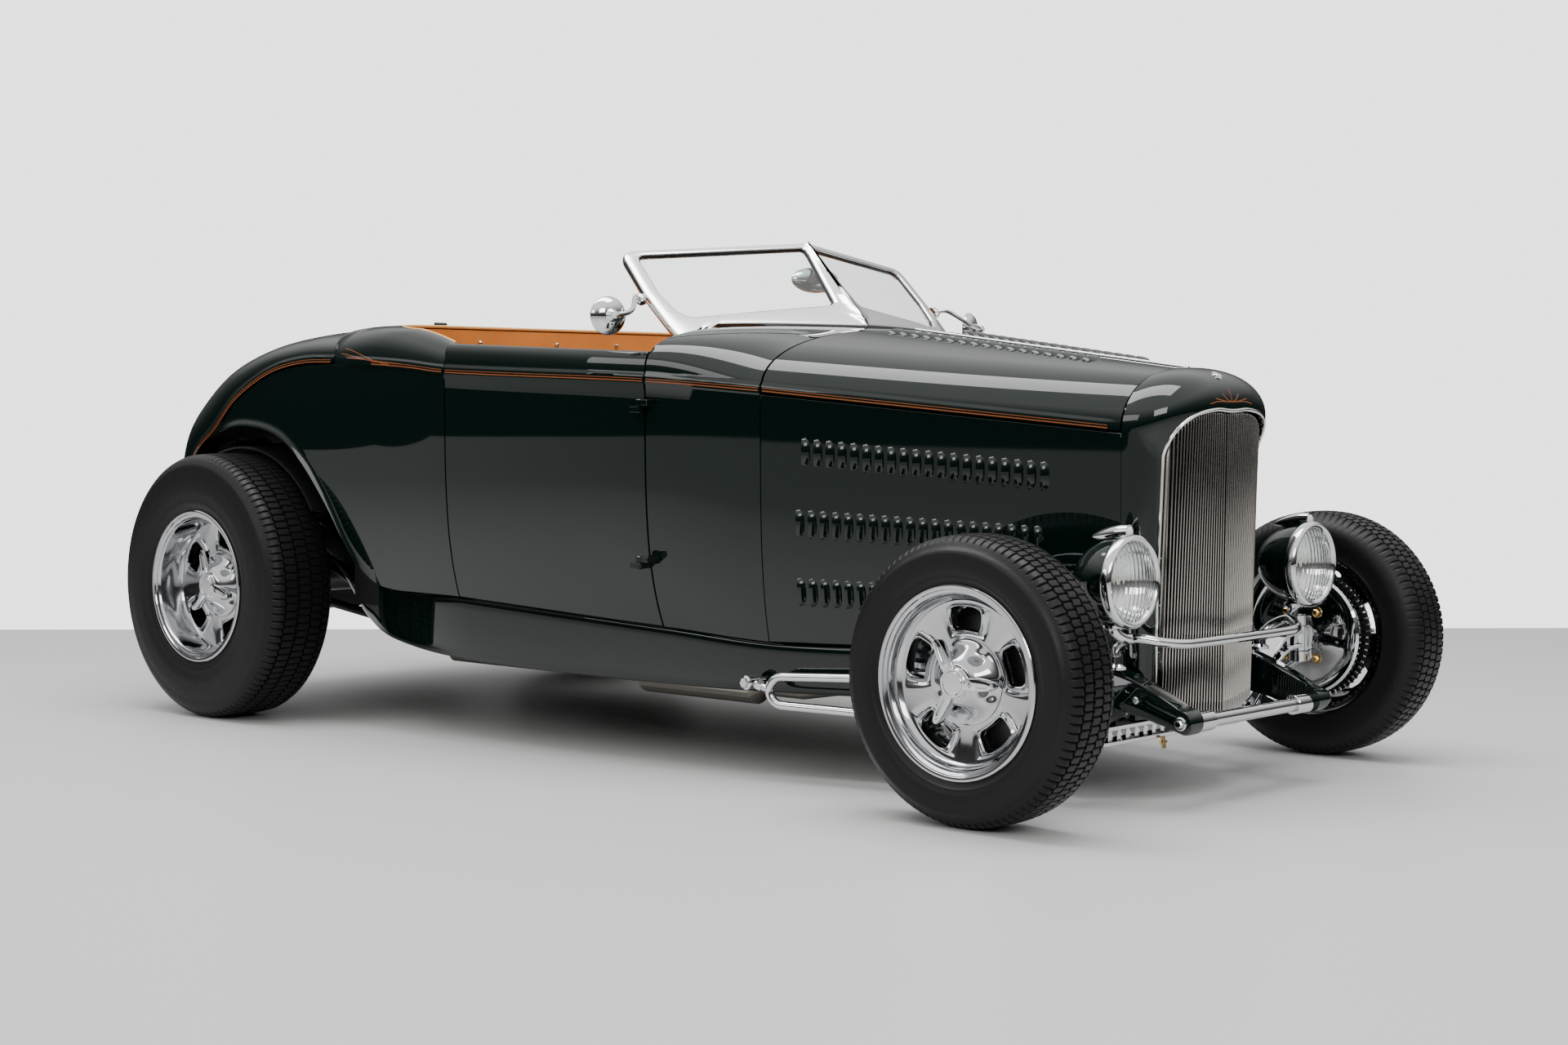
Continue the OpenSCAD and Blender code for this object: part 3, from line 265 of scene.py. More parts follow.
CAST = Finish("cast alloy", "cast_alloy", Kind.BRUSHED, (0.42, 0.42, 0.43), 0.42, 0.1, 70.0, 0.0006)
PIPE = Finish("exhaust steel", "exhaust_steel", Kind.BRUSHED, (0.42, 0.39, 0.35), 0.34, 0.1, 30.0)
GAUGE = Finish("gauge face", "body_paint", Kind.PLAIN, (0.75, 0.72, 0.62), 0.35, 0.04, 50.0)


# ------------------------------------------------------------------ meshes
@dataclass
class Shape:
    """Closed surfaces gathered into one mesh piece.

    Each call to `add` takes the grids that close up one surface. Points that meet
    are merged, and the surface is turned to face out by the sign of its volume.
    """

    verts: list[Array] = field(default_factory=list)
    quads: list[Array] = field(default_factory=list)
    tris: list[Array] = field(default_factory=list)
    count: int = 0

    def add(self, *grids: Array) -> "Shape":
        """Adds one closed surface made of grids of shape (rows, columns, 3), in mm.

        Args:
            grids: patches whose borders meet each other or close on themselves.

        Returns:
            This shape.
        """
        points, faces, base = [], [], 0
        for g in grids:
            m, n = g.shape[:2]
            idx = np.arange(m * n).reshape(m, n) + base
            faces.append(np.stack([idx[:-1, :-1], idx[1:, :-1], idx[1:, 1:], idx[:-1, 1:]],
                                  -1).reshape(-1, 4))
            points.append(g.reshape(-1, 3))
            base += m * n
        pts = np.concatenate(points)
        q = np.concatenate(faces)
        _, first, inverse = np.unique(np.round(pts * 200).astype(np.int64), axis=0, return_index=True,
                                      return_inverse=True)
        pts = pts[first]
        q = inverse.reshape(-1)[q]
        same = q == np.roll(q, -1, axis=1)
        good = q[~same.any(1)]
        bent = q[same.sum(1) == 1]
        keep = ~same[same.sum(1) == 1]
        tri = bent[keep].reshape(-1, 3)
        a, b, c = pts[good[:, 0]], pts[good[:, 1]], pts[good[:, 2]]
        d = pts[good[:, 3]]
        volume = np.einsum("ij,ij->", a, np.cross(b, c)) + np.einsum("ij,ij->", a, np.cross(c, d))
        if len(tri):
            volume += np.einsum("ij,ij->", pts[tri[:, 0]], np.cross(pts[tri[:, 1]], pts[tri[:, 2]]))
        if volume < 0:
            good, tri = good[:, ::-1], tri[:, ::-1]
        self.verts.append(pts)
        self.quads.append(good + self.count)
        self.tris.append(tri + self.count)
        self.count += len(pts)
        return self

    def stamped(self, origins: Array, forward: Array, up: Array, out: Array) -> "Shape":
        """Repeats all that is held so far at many places, one frame of axes each.

        Args:
            origins: places, shape (k, 3).
            forward: first axis at each place, shape (k, 3).
            up: second axis at each place.
            out: third axis at each place.

        Returns:
            A new shape with k copies.
        """
        v, q, t = np.concatenate(self.verts), np.concatenate(self.quads), np.concatenate(self.tris)
        k, n = len(origins), len(v)
        pts = (origins[:, None] + v[None, :, 0:1] * forward[:, None] + v[None, :, 1:2] * up[:, None]
               + v[None, :, 2:3] * out[:, None])
        flip = np.einsum("ij,ij->i", np.cross(forward, up), out) < 0
        step = np.arange(k)[:, None, None] * n
        qq, tt = q[None] + step, t[None] + step
        qq[flip], tt[flip] = qq[flip][:, :, ::-1], tt[flip][:, :, ::-1]
        made = Shape()
        made.verts, made.quads, made.tris = [pts.reshape(-1, 3)], [qq.reshape(-1, 4)], [tt.reshape(-1, 3)]
        made.count = k * n
        return made

    def merge(self, other: "Shape") -> "Shape":
        """Takes in another shape's surfaces and returns this one.

        Args:
            other: shape to take in.

        Returns:
            The shape.
        """
        self.verts += other.verts
        self.quads += [q + self.count for q in other.quads]
        self.tris += [t + self.count for t in other.tris]
        self.count += other.count
        return self

    def mirrored(self) -> "Shape":
        """Returns this shape mirrored to the other side of the car.

        Returns:
            The shape.
        """
        out = Shape(count=self.count)
        out.verts = [v * [1, -1, 1] for v in self.verts]
        out.quads = [q[:, ::-1] for q in self.quads]
        out.tris = [t[:, ::-1] for t in self.tris]
        return out

    def on(self, side: Side) -> "Shape":
        """Returns the shape for one side of the car."""
        return self if side is Side.RIGHT else self.mirrored()

    def both(self) -> "Shape":
        """Returns this shape and its mirror image together."""
        other = self.mirrored()
        return Shape(list(self.verts), list(self.quads), list(self.tris), self.count).merge(other)

    def build(self, name: str, finish: Finish, body: str = "root", replaces: Sequence[str] = (),
              crease: float = 32.0, bevel: float = 0.0) -> bpy.types.Object:
        """Makes the mesh object, dresses it and rides it on its body.

        Args:
            name: piece name.
            finish: its finish.
            body: body that carries it.
            replaces: nodes it stands for.
            crease: angle in degrees past which an edge stays sharp.
            bevel: width of a rounded edge in mm, or 0.

        Returns:
            The new object.
        """
        v = np.concatenate(self.verts)
        q, t = np.concatenate(self.quads), np.concatenate(self.tris)
        v = (v - [CENTRE_X, 0.0, 0.0]) / 1000.0
        mesh = bpy.data.meshes.new(name)
        mesh.vertices.add(len(v))
        mesh.vertices.foreach_set("co", v.astype(np.float32).ravel())
        mesh.loops.add(4 * len(q) + 3 * len(t))
        mesh.loops.foreach_set("vertex_index", np.concatenate([q.ravel(), t.ravel()]).astype(np.int32))
        mesh.polygons.add(len(q) + len(t))
        starts = np.concatenate([np.arange(len(q)) * 4, 4 * len(q) + np.arange(len(t)) * 3])
        mesh.polygons.foreach_set("loop_start", starts.astype(np.int32))
        mesh.polygons.foreach_set("use_smooth", np.ones(len(q) + len(t), dtype=bool))
        mesh.update(calc_edges=True)
        mesh.validate()
        mesh.set_sharp_from_angle(angle=math.radians(crease))
        mesh.materials.append(finish.material())
        obj = bpy.data.objects.new(name, mesh)
        bpy.context.scene.collection.objects.link(obj)
        if bevel > 0.0:
            mod = obj.modifiers.new("edge", "BEVEL")
            mod.width = bevel / 1000.0
            mod.segments = 2
            mod.limit_method = "ANGLE"
            mod.angle_limit = math.radians(50)
            mod.harden_normals = False
        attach(obj, body)
        if replaces:
            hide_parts(*replaces)
        LOG.info("%s: %d faces on %s", name, len(q) + len(t), body)
        return obj


# ------------------------------------------------------------------ curves
def ramp(t: Array) -> Array:
    """Smooth step from 0 to 1, t squared times (3 minus 2t), held at the ends."""
    t = np.clip(t, 0.0, 1.0)
    return t * t * (3 - 2 * t)


def lerp(a: Array | float, b: Array | float, t: Array | float) -> Array | float:
    """Straight mix of a and b by t."""
    return a + (b - a) * t


def unit(v: Array) -> Array:
    """Rows of v divided by their lengths."""
    return v / np.maximum(np.linalg.norm(v, axis=-1, keepdims=True), 1e-9)


def turn(steps: int, full: float = 2 * np.pi) -> Array:
    """Angles of one full turn in even steps, the last the same as the first.

    Args:
        steps: steps in a full turn.
        full: size of a full turn in the wanted unit.

    Returns:
        Angles, steps plus one of them.
    """
    a = np.linspace(0, full, steps + 1)
    a[-1] = 0.0
    return a


def arc_out(phi: Array, n: float) -> Array:
    """Cosine of phi degrees to the power 2/n."""
    return np.maximum(np.cos(np.radians(phi)), 0.0) ** (2.0 / n)


def arc_up(phi: Array, n: float) -> Array:
    """Sine of phi degrees to the power 2/n."""
    return np.maximum(np.sin(np.radians(phi)), 0.0) ** (2.0 / n)


@dataclass(frozen=True)
class Knots:
    """Smooth curve through knots, by cubic pieces.

    The slope at a knot is that of the line through its two neighbours.
    """

    at: tuple[float, ...]
    to: tuple

    def __call__(self, x: Array) -> Array:
        """Returns the value at each x; a knot may hold a number or a row of numbers.

        Args:
            x: positions.

        Returns:
            Values, or rows of values, of the curve.
        """
        k = np.asarray(self.at, float)
        v = np.asarray(self.to, float)
        x = np.asarray(x, float)
        lo = np.maximum(np.arange(len(k)) - 1, 0)
        hi = np.minimum(np.arange(len(k)) + 1, len(k) - 1)
        gap = k[hi] - k[lo]
        slope = (v[hi] - v[lo]) / (gap if v.ndim == 1 else gap[:, None])
        i = np.clip(np.searchsorted(k, x, side="left") - 1, 0, len(k) - 2)
        h = k[i + 1] - k[i]
        t = (x - k[i]) / h
        if v.ndim > 1:
            h, t = h[..., None], t[..., None]
        return ((2 * t**3 - 3 * t**2 + 1) * v[i] + (t**3 - 2 * t**2 + t) * h * slope[i]
                + (3 * t**2 - 2 * t**3) * v[i + 1] + (t**3 - t**2) * h * slope[i + 1])


def knots(*pairs) -> Knots:
    """Makes a curve from (position, value) pairs."""
    return Knots(tuple(p[0] for p in pairs), tuple(tuple(p[1]) if isinstance(p[1], (list, tuple)) else p[1]
                                                   for p in pairs))


# ------------------------------------------------------------------ surfaces
def grid_normals(g: Array) -> Array:
    """Unit normals of a grid from the cross product of its two differences."""
    return unit(np.cross(np.gradient(g, axis=0), np.gradient(g, axis=1)))


def slab(outer: Array, inner: Array) -> list[Array]:
    """Patches of a closed panel between an outer and an inner grid.

    Rings of outer then reversed inner points run along the rows, and each end is
    closed by the strip between the two grids.
    """
    ring = np.concatenate([outer, inner[:, ::-1], outer[:, :1]], axis=1)
    return [ring, np.stack([inner[0], outer[0]]), np.stack([outer[-1], inner[-1]])]


def capped(rings: Array) -> Array:
    """Grid of a closed bar through rings, each end drawn to the mean of its ring."""
    ends = [np.broadcast_to(r[:-1].mean(0), r.shape)[None] for r in (rings[0], rings[-1])]
    return np.concatenate([ends[0], rings, ends[1]])


def panel(outer: Array, thick: float = WALL) -> list[Array]:
    """Patches of a closed panel whose inner face lies a thickness inside."""
    return slab(outer, outer - thick * grid_normals(outer))


def revolved(profile: Sequence, centre: Sequence[float], axis: Sequence[float], steps: int = 96,
             spin: float = 0.0) -> Array:
    """Grid of a closed profile of (radius, distance along the axis), turned round it.

    Args:
        profile: (radius, distance) points.
        centre: point on the axis.
        axis: direction of the axis.
        steps: steps in a full turn.
        spin: first angle in degrees.

    Returns:
        Points of shape (..., 3), in mm.
    """
    p = np.asarray(profile, float)
    p = np.concatenate([p, p[:1]])
    d = np.asarray(axis, float) / np.linalg.norm(axis)
    ref = np.array([0.0, 0.0, 1.0]) if abs(d[2]) < 0.9 else np.array([1.0, 0.0, 0.0])
    u = np.cross(ref, d)
    u /= np.linalg.norm(u)
    w = np.cross(d, u)
    a = np.linspace(0, 2 * np.pi, steps + 1) + math.radians(spin)
    a[-1] = a[0]
    ring = np.cos(a)[:, None] * u + np.sin(a)[:, None] * w
    return np.asarray(centre, float) + p[None, :, 0:1] * ring[:, None] + p[None, :, 1:2] * d


def tube(path: Sequence, radius: float | Sequence, sides: int = 20, closed: bool = False) -> Array:
    """Grid of a round bar swept along a path, its ends drawn to a point.

    Each ring stands square to the line through its two neighbours.

    Args:
        path: points along the middle of the bar.
        radius: radius, or one for each point.
        sides: sides of a ring.
        closed: whether the path closes on itself.

    Returns:
        Points of shape (..., 3), in mm.
    """
    p = np.asarray(path, float)
    r = np.broadcast_to(np.asarray(radius, float), (len(p),)).astype(float)
    if closed:
        t = np.roll(p, -1, 0) - np.roll(p, 1, 0)
    else:
        t = np.gradient(p, axis=0)
    t = unit(t)
    ref = np.eye(3)[int(np.argmin(np.abs(t).mean(0)))]
    u = unit(np.cross(t, ref))
    w = np.cross(t, u)
    a = turn(sides)
    rings = p[:, None] + r[:, None, None] * (np.cos(a)[None, :, None] * u[:, None] + np.sin(a)[None, :, None]
                                             * w[:, None])
    if closed:
        return np.concatenate([rings, rings[:1]])
    ends = [np.broadcast_to(c, rings[0].shape)[None] for c in (p[0], p[-1])]
    return np.concatenate([ends[0], rings, ends[1]])


def smooth_path(points: Sequence, steps: int = 8, closed: bool = False) -> Array:
    """Points along a smooth curve through the given ones.

    Args:
        points: points to pass through.
        steps: steps between two points.
        closed: whether the path closes on itself.

    Returns:
        Points of shape (..., 3), in mm.
    """
    p = np.asarray(points, float)
    if closed:
        q = np.concatenate([p[-2:], p, p[:3]])
        k = knots(*[(i - 2, tuple(v)) for i, v in enumerate(q)])
        return k(np.arange(len(p) * steps) / steps)
    k = knots(*[(i, tuple(v)) for i, v in enumerate(p)])
    return k(np.linspace(0, len(p) - 1, (len(p) - 1) * steps + 1))


def block(low: Sequence[float], high: Sequence[float]) -> Array:
    """Grid of a closed box between two corners.

    Args:
        low: lowest corner.
        high: highest corner.

    Returns:
        Points of shape (..., 3), in mm.
    """
    x0, y0, z0 = low
    x1, y1, z1 = high
    ring = np.array([[y0, z0], [y1, z0], [y1, z1], [y0, z1], [y0, z0]])
    mid = np.tile([(y0 + y1) / 2, (z0 + z1) / 2], (5, 1))
    rows = [(x0, mid), (x0, ring), (x1, ring), (x1, mid)]
    return np.stack([np.concatenate([np.full((5, 1), x), r], 1) for x, r in rows])


def disc_stack(centre: Sequence[float], axis: Sequence[float], stops: Sequence, steps: int = 48) -> Array:
    """Grid of a solid of turning from (radius, distance) stops, closed on its axis."""
    s = [(0.0, stops[0][1]), *stops, (0.0, stops[-1][1])]
    return revolved(s, centre, axis, steps)


# ------------------------------------------------------------------ body lines
@dataclass(frozen=True)
class BodyLines:
    """Lines and surfaces of the body, all on the right side with Y below zero."""

    rear_w: float = 690.0
    door_rear_w: float = 700.0
    door_front_w: float = 660.0
    hood_w: float = 575.0
    bead: float = 3.2
    bead_h: float = 20.0

    def belt_w(self, x: Array) -> Array:
        """Half width at the belt: a curve through knots, straight over the hood.

        Args:
            x: stations along the car.

        Returns:
            Distances in mm, one for each place.
        """
        taper = (self.hood_w - 250.0) / (HOOD_FRONT - HOOD_REAR)
        k = knots((RA - 200, self.rear_w), (RA + 300, self.rear_w),
                  (RA + 650, (self.rear_w + self.door_rear_w) / 2),
                  (DOOR_REAR, self.door_rear_w),
                  (lerp(DOOR_REAR, DOOR_FRONT, 0.55), lerp(self.door_rear_w, self.door_front_w, 0.2)),
                  (DOOR_FRONT, self.door_front_w), (HOOD_REAR, self.hood_w),
                  (HOOD_REAR + 100, self.hood_w - 100 * taper))
        x = np.asarray(x, float)
        return np.where(x > HOOD_REAR, self.hood_w - (x - HOOD_REAR) * taper, k(np.minimum(x, HOOD_REAR)))

    def belt_z(self, x: Array) -> Array:
        """Height of the belt.

        Args:
            x: stations along the car.

        Returns:
            Distances in mm, one for each place.
        """
        k = knots((RA - 110, 800), (RA - 74, 826), (RA + 9, 896), (RA + 168, 967), (RA + 358, 994),
                  (RA + 578, 989),
                  (RA + 786, 977), (DOOR_REAR, 962), (DOOR_FRONT, 933), (HOOD_REAR, 909),
                  (HOOD_REAR + 100, 898))
        x = np.asarray(x, float)
        return np.where(x > HOOD_REAR, 909 - (x - HOOD_REAR) * 0.1121, k(np.minimum(x, HOOD_REAR)))

    def sill_z(self, x: Array) -> Array:
        """Height of the lower edge, up and over the rear wheel arch.

        Args:
            x: stations along the car.

        Returns:
            Distances in mm, one for each place.
        """
        k = knots((RA - 110, 796), (RA - 74, 809), (RA + 48, 826), (RA + 204, 800), (RA + 317, 727),
                  (RA + 428, 605),
                  (RA + 517, 474), (RA + 588, 408), (RA + 660, 390), (RA + 780, 387), (DOOR_REAR, 385),
                  (DOOR_FRONT, 347), (HOOD_REAR, 325), (HOOD_REAR + 100, 325))
        x = np.asarray(x, float)
        return np.where(x > HOOD_REAR, 325.0, k(np.minimum(x, HOOD_REAR)))

    def crown_z(self, x: Array) -> Array:
        """Height of the hood and cowl on the middle line.

        Args:
            x: stations along the car.

        Returns:
            Distances in mm, one for each place.
        """
        k = knots((DOOR_FRONT, 1082), (DOOR_FRONT + 136, 1079), (HOOD_REAR, 1070), (HOOD_REAR + 100, 1057))
        x = np.asarray(x, float)
        return np.where(x > HOOD_REAR, 1070 - (x - HOOD_REAR) * 0.1316, k(np.minimum(x, HOOD_REAR)))

    def crown_n(self, x: Array) -> Array:
        """Squareness of the cowl section, easing to the hood's."""
        return lerp(4.0, 2.4, ramp((x - DOOR_FRONT) / (HOOD_REAR - DOOR_FRONT)))

    def tuck(self, x: Array) -> Array:
        """How far the sill tucks in under the belt."""
        return knots((RA, 36), (DOOR_REAR, 45), (DOOR_FRONT, 60), (HOOD_REAR, 30), (HOOD_FRONT, 22))(x)

    def side_w(self, x: Array, z: Array) -> Array:
        """Half width at a height: belt width less the tuck times depth to the fourth.

        Args:
            x: stations along the car.
            z: heights.

        Returns:
            Distances in mm, one for each place.
        """
        low = np.minimum(self.sill_z(x), LOW_SILL)
        v = np.clip((self.belt_z(x) - z) / (self.belt_z(x) - low), 0.0, 1.0)
        return self.belt_w(x) - self.tuck(x) * v**4

    def side(self, x: Array, z: Array, out: float = 0.0) -> Array:
        """Point on the side at x and height z, moved out by out."""
        return np.stack([x, -self.side_w(x, z) - out, z + 0 * x], -1)

    def relief(self, h: Array) -> Array:
        """Height of the raised belt bead at a distance above the belt."""
        return self.bead * ramp((h + 3.0) / 3.0) * (1 - ramp((h - self.bead_h) / 6.0))

    def crown(self, x: Array, phi: Array) -> Array:
        """Point on the hood or cowl: a superellipse from the belt up to the crown.

        Args:
            x: stations along the car.
            phi: arc angles in degrees, 0 at the edge to 90 in the middle.

        Returns:
            Points of shape (..., 3), in mm.
        """
        n = self.crown_n(x)
        w = self.belt_w(x)
        rise = (self.crown_z(x) - self.belt_z(x)) * arc_up(phi, n)
        return np.stack([x, -w * arc_out(phi, n) - self.relief(rise) * arc_out(phi, 1.0),
                         self.belt_z(x) + rise], -1)

    def crown_at(self, x: Array, y: Array) -> Array:
        """Height of the hood or cowl above a point.

        Args:
            x: stations along the car.
            y: distances from the middle line, either sign.

        Returns:
            Distances in mm, one for each place.
        """
        q = np.minimum(np.abs(y) / self.belt_w(x), 1.0)
        n = self.crown_n(x)
        return self.belt_z(x) + (self.crown_z(x) - self.belt_z(x)) * np.maximum(1 - q**n, 0.0) ** (1 / n)

    tail_edge = staticmethod(knots(
        (0, (RA + 470, 690, 995)), (1, (RA + 320, 690, 994)), (2, (RA + 168, 690, 967)),
                                   (3, (RA + 9, 690, 896)),
        (4, (RA - 94, 689, 812)), (5, (RA - 196, 682, 748)), (6, (RA - 286, 656, 662)),
                                   (7, (RA - 352, 622, 550)),
        (8, (RA - 390, 596, 430))))
    tail_mid = staticmethod(knots(
        (0, (RA + 470, 0, 1105)), (1, (RA + 310, 0, 1101)), (2, (RA + 106, 0, 1080)), (3, (RA - 94, 0, 1035)),
        (4, (RA - 250, 0, 960)), (5, (RA - 350, 0, 862)), (6, (RA - 412, 0, 740)), (7, (RA - 440, 0, 590)),
        (8, (RA - 442, 0, 430))))

    def tail_n(self, t: Array) -> Array:
        """Squareness of the tail's arc at a station."""
        return lerp(3.8, 3.0, t / 8)

    def tail(self, t: Array, phi: Array, bead: bool = True) -> Array:
        """Point on the tail: an arc at each station from the edge curve to the middle.

        Args:
            t: stations on the tail, 0 at the cockpit to 8 at the foot.
            phi: arc angles in degrees, 0 at the edge to 90 in the middle.
            bead: whether the belt bead is raised.

        Returns:
            Points of shape (..., 3), in mm.
        """
        e, m = self.tail_edge(t), self.tail_mid(t)
        n = self.tail_n(t)
        o, u = arc_out(phi, n), arc_up(phi, n)
        climb = u * np.linalg.norm(m - e * [1, 0, 1], axis=-1)
        lift = self.relief(climb) if bead else 0.0
        return np.stack([lerp(e[..., 0], m[..., 0], u), -e[..., 1] * o - lift, lerp(e[..., 2], m[..., 2], u)],
                        -1)

    def tail_phi(self, t: Array, y: Array) -> Array:
        """Arc angle at which the tail is y from the middle."""
        n = self.tail_n(t)
        return np.degrees(np.arccos(np.clip((y / self.tail_edge(t)[..., 1]) ** (n / 2), 0, 1)))

    def rim(self, a: Array, psi: Array) -> Array:
        """Rolled edge round the cockpit: an arc from the outer edge to the opening.

        Args:
            a: angles round the cockpit in degrees: 0 at the left door, 90 at the back, 180 at the right.
            psi: angles up the rolled edge in degrees, 0 outside to 90 at the opening.

        Returns:
            Points of shape (..., 3), in mm.
        """
        s = np.where(a < 90, 1.0, -1.0)
        c = np.abs(a - 90)
        x = lerp(DECK_FRONT + 0.3, DOOR_REAR - SEAM, (c - 40) / 50)
        back = self.tail(np.zeros_like(c), 90 - 90 * np.minimum(c, 40) / 40, bead=False)
        far = c > 40
        outer = np.stack([np.where(far, x, DECK_FRONT + 0.3),
                          np.where(far, s * self.belt_w(x), -s * back[..., 1]),
                          np.where(far, self.belt_z(x) + 0.6, back[..., 2])], -1)
        b = np.minimum(c / 62, 1.0) * 90
        x0 = COCKPIT_X
        x_in = x0 - (x0 - (RA + 520)) * arc_out(b, 2.6) + np.maximum(c - 62, 0) / 28 * (DOOR_REAR - SEAM - x0)
        inner = np.stack([x_in, s * (642 + 6 * np.maximum(c - 62, 0) / 28) * arc_up(b, 2.6),
                          1105 - 64 * (c / 90) ** 3], -1)
        f, g = 1 - arc_out(psi, 2.4), arc_up(psi, 2.4)
        mix = np.stack([f, f, g], -1)
        p = outer + (inner - outer) * mix
        side_bead = self.relief(p[..., 2] - outer[..., 2]) * ramp((c - 40) / 14)
        p[..., 1] += s * side_bead
        return p

    def door_top(self, x: Array) -> Array:
        """Height of a door's top edge, which falls evenly from rear to front."""
        return lerp(1043.0, 1011.0, (x - DOOR_REAR) / (DOOR_FRONT - DOOR_REAR))

    def door_skin(self, x: Array, v: Array) -> Array:
        """Outer skin of a door: the side up to the belt, then an arc to the top.

        Args:
            x: stations along the car.
            v: shares of the way up, with the belt at DOOR_BELT.

        Returns:
            Points of shape (..., 3), in mm.
        """
        low = self.side(x, lerp(self.sill_z(x) + 1, self.belt_z(x), np.minimum(v / DOOR_BELT, 1.0)))
        a = 90 * np.clip((v - DOOR_BELT) / DOOR_CROWN, 0, 1)
        top_w = self.side_w(x, 990.0 + 0 * x) - 16
        top_z = self.door_top(x)
        z = lerp(self.belt_z(x), top_z, arc_up(a, 2.8))
        high = np.stack([x, -lerp(top_w - 8, self.belt_w(x), arc_out(a, 2.8)), z], -1)
        p = np.where((v < DOOR_BELT)[..., None], low, high)
        p[..., 1] -= self.relief(p[..., 2] - self.belt_z(x))
        return p

    def door_inner(self, x: Array, v: Array, shift: float = 0.0) -> Array:
        """Inner skin of a door, a door's thickness in from its top edge.

        Args:
            x: stations along the car.
            v: shares of the way up.
            shift: distance further in.

        Returns:
            Points of shape (..., 3), in mm.
        """
        top_w = self.side_w(x, 990.0 + 0 * x) - 16
        top_z = self.door_top(x)
        return np.stack([x, -top_w + 56 + shift, lerp(self.sill_z(x) + 1, top_z - 2, v)], -1)


LINES = BodyLines()


def mesh_grid(u: Array, v: Array) -> tuple[Array, Array]:
    """Two parameter grids with rows along u and columns along v."""
    return np.meshgrid(u, v, indexing="ij")


def over(half: Array) -> Array:
    """Extends a right-side grid, whose last column is the middle, over to the left."""
    return np.concatenate([half, half[:, -2::-1] * [1, -1, 1]], axis=1)


def ribbon(line: Array, out: Array, across: Array, width: float, lift: float) -> list[Array]:
    """Patches of a thin painted strip along a line on a surface.

    Args:
        line: points along the surface, shape (k, 3).
        out: unit normals there.
        across: unit directions across the strip.
        width: strip width.
        lift: how far its top stands off the surface.

    Returns:
        Grids that close up one surface.
    """
    s = np.array([-0.5, 0.5, 0.5, -0.5, -0.5]) * width
    h = np.array([lift, lift, -0.6, -0.6, lift])
    ring = line[:, None] + s[None, :, None] * across[:, None] + h[None, :, None] * out[:, None]
    mid = ring[:, :4].mean(1, keepdims=True)
    return [np.concatenate([np.broadcast_to(mid[0], ring[:1].shape), ring,
                            np.broadcast_to(mid[-1], ring[:1].shape)])]


@dataclass
class Louvers:
    """Raised slots pressed into the hood.

    Attributes:
        length: length of a slot.
        width: width from the closed edge to the open one.
        height: how far the open edge stands out.
    """

    length: float = 66.0
    width: float = 19.0
    height: float = 10.0

    def blister(self) -> Shape:
        """Returns one pressed slot: a quarter wave across, rounded off at both ends.

        Returns:
            The closed surfaces, in mm.
        """
        u, v = mesh_grid(np.linspace(0, 1, 7), np.sin(np.linspace(-np.pi / 2, np.pi / 2, 11)))
        end = np.maximum(1 - np.abs(v) ** 3.2, 0.0) ** 0.6
        rise = np.sin(u * np.pi / 2) ** 0.9
        x = -(u - 0.5) * self.width * (0.35 + 0.65 * end) - 0.5 * self.width * (1 - (0.35 + 0.65 * end))
        top = np.stack([x, v * self.length / 2, self.height * rise * end], -1)
        low = top * [1, 1, 0] - [0, 0, 1.2]
        return Shape().add(*slab(top, low))

    def mouth_shade(self) -> Shape:
        """Returns the dark sheet of painted shade that stands behind the open edge of a slot, where the
        opening is.

        Returns:
            The closed surfaces, in mm.
        """
        v = np.linspace(-0.9, 0.9, 9)
        end = np.maximum(1 - np.abs(v) ** 3.2, 0.0) ** 0.6
        x = np.full_like(v, -self.width * 0.5 - 0.25)
        top = np.stack([x, v * self.length / 2, self.height * 0.84 * end], -1)
        low = np.stack([x, v * self.length / 2, 0 * v - 0.8], -1)
        face = np.stack([low, top])
        return Shape().add(*slab(face, face + [0.3, 0, 0]))


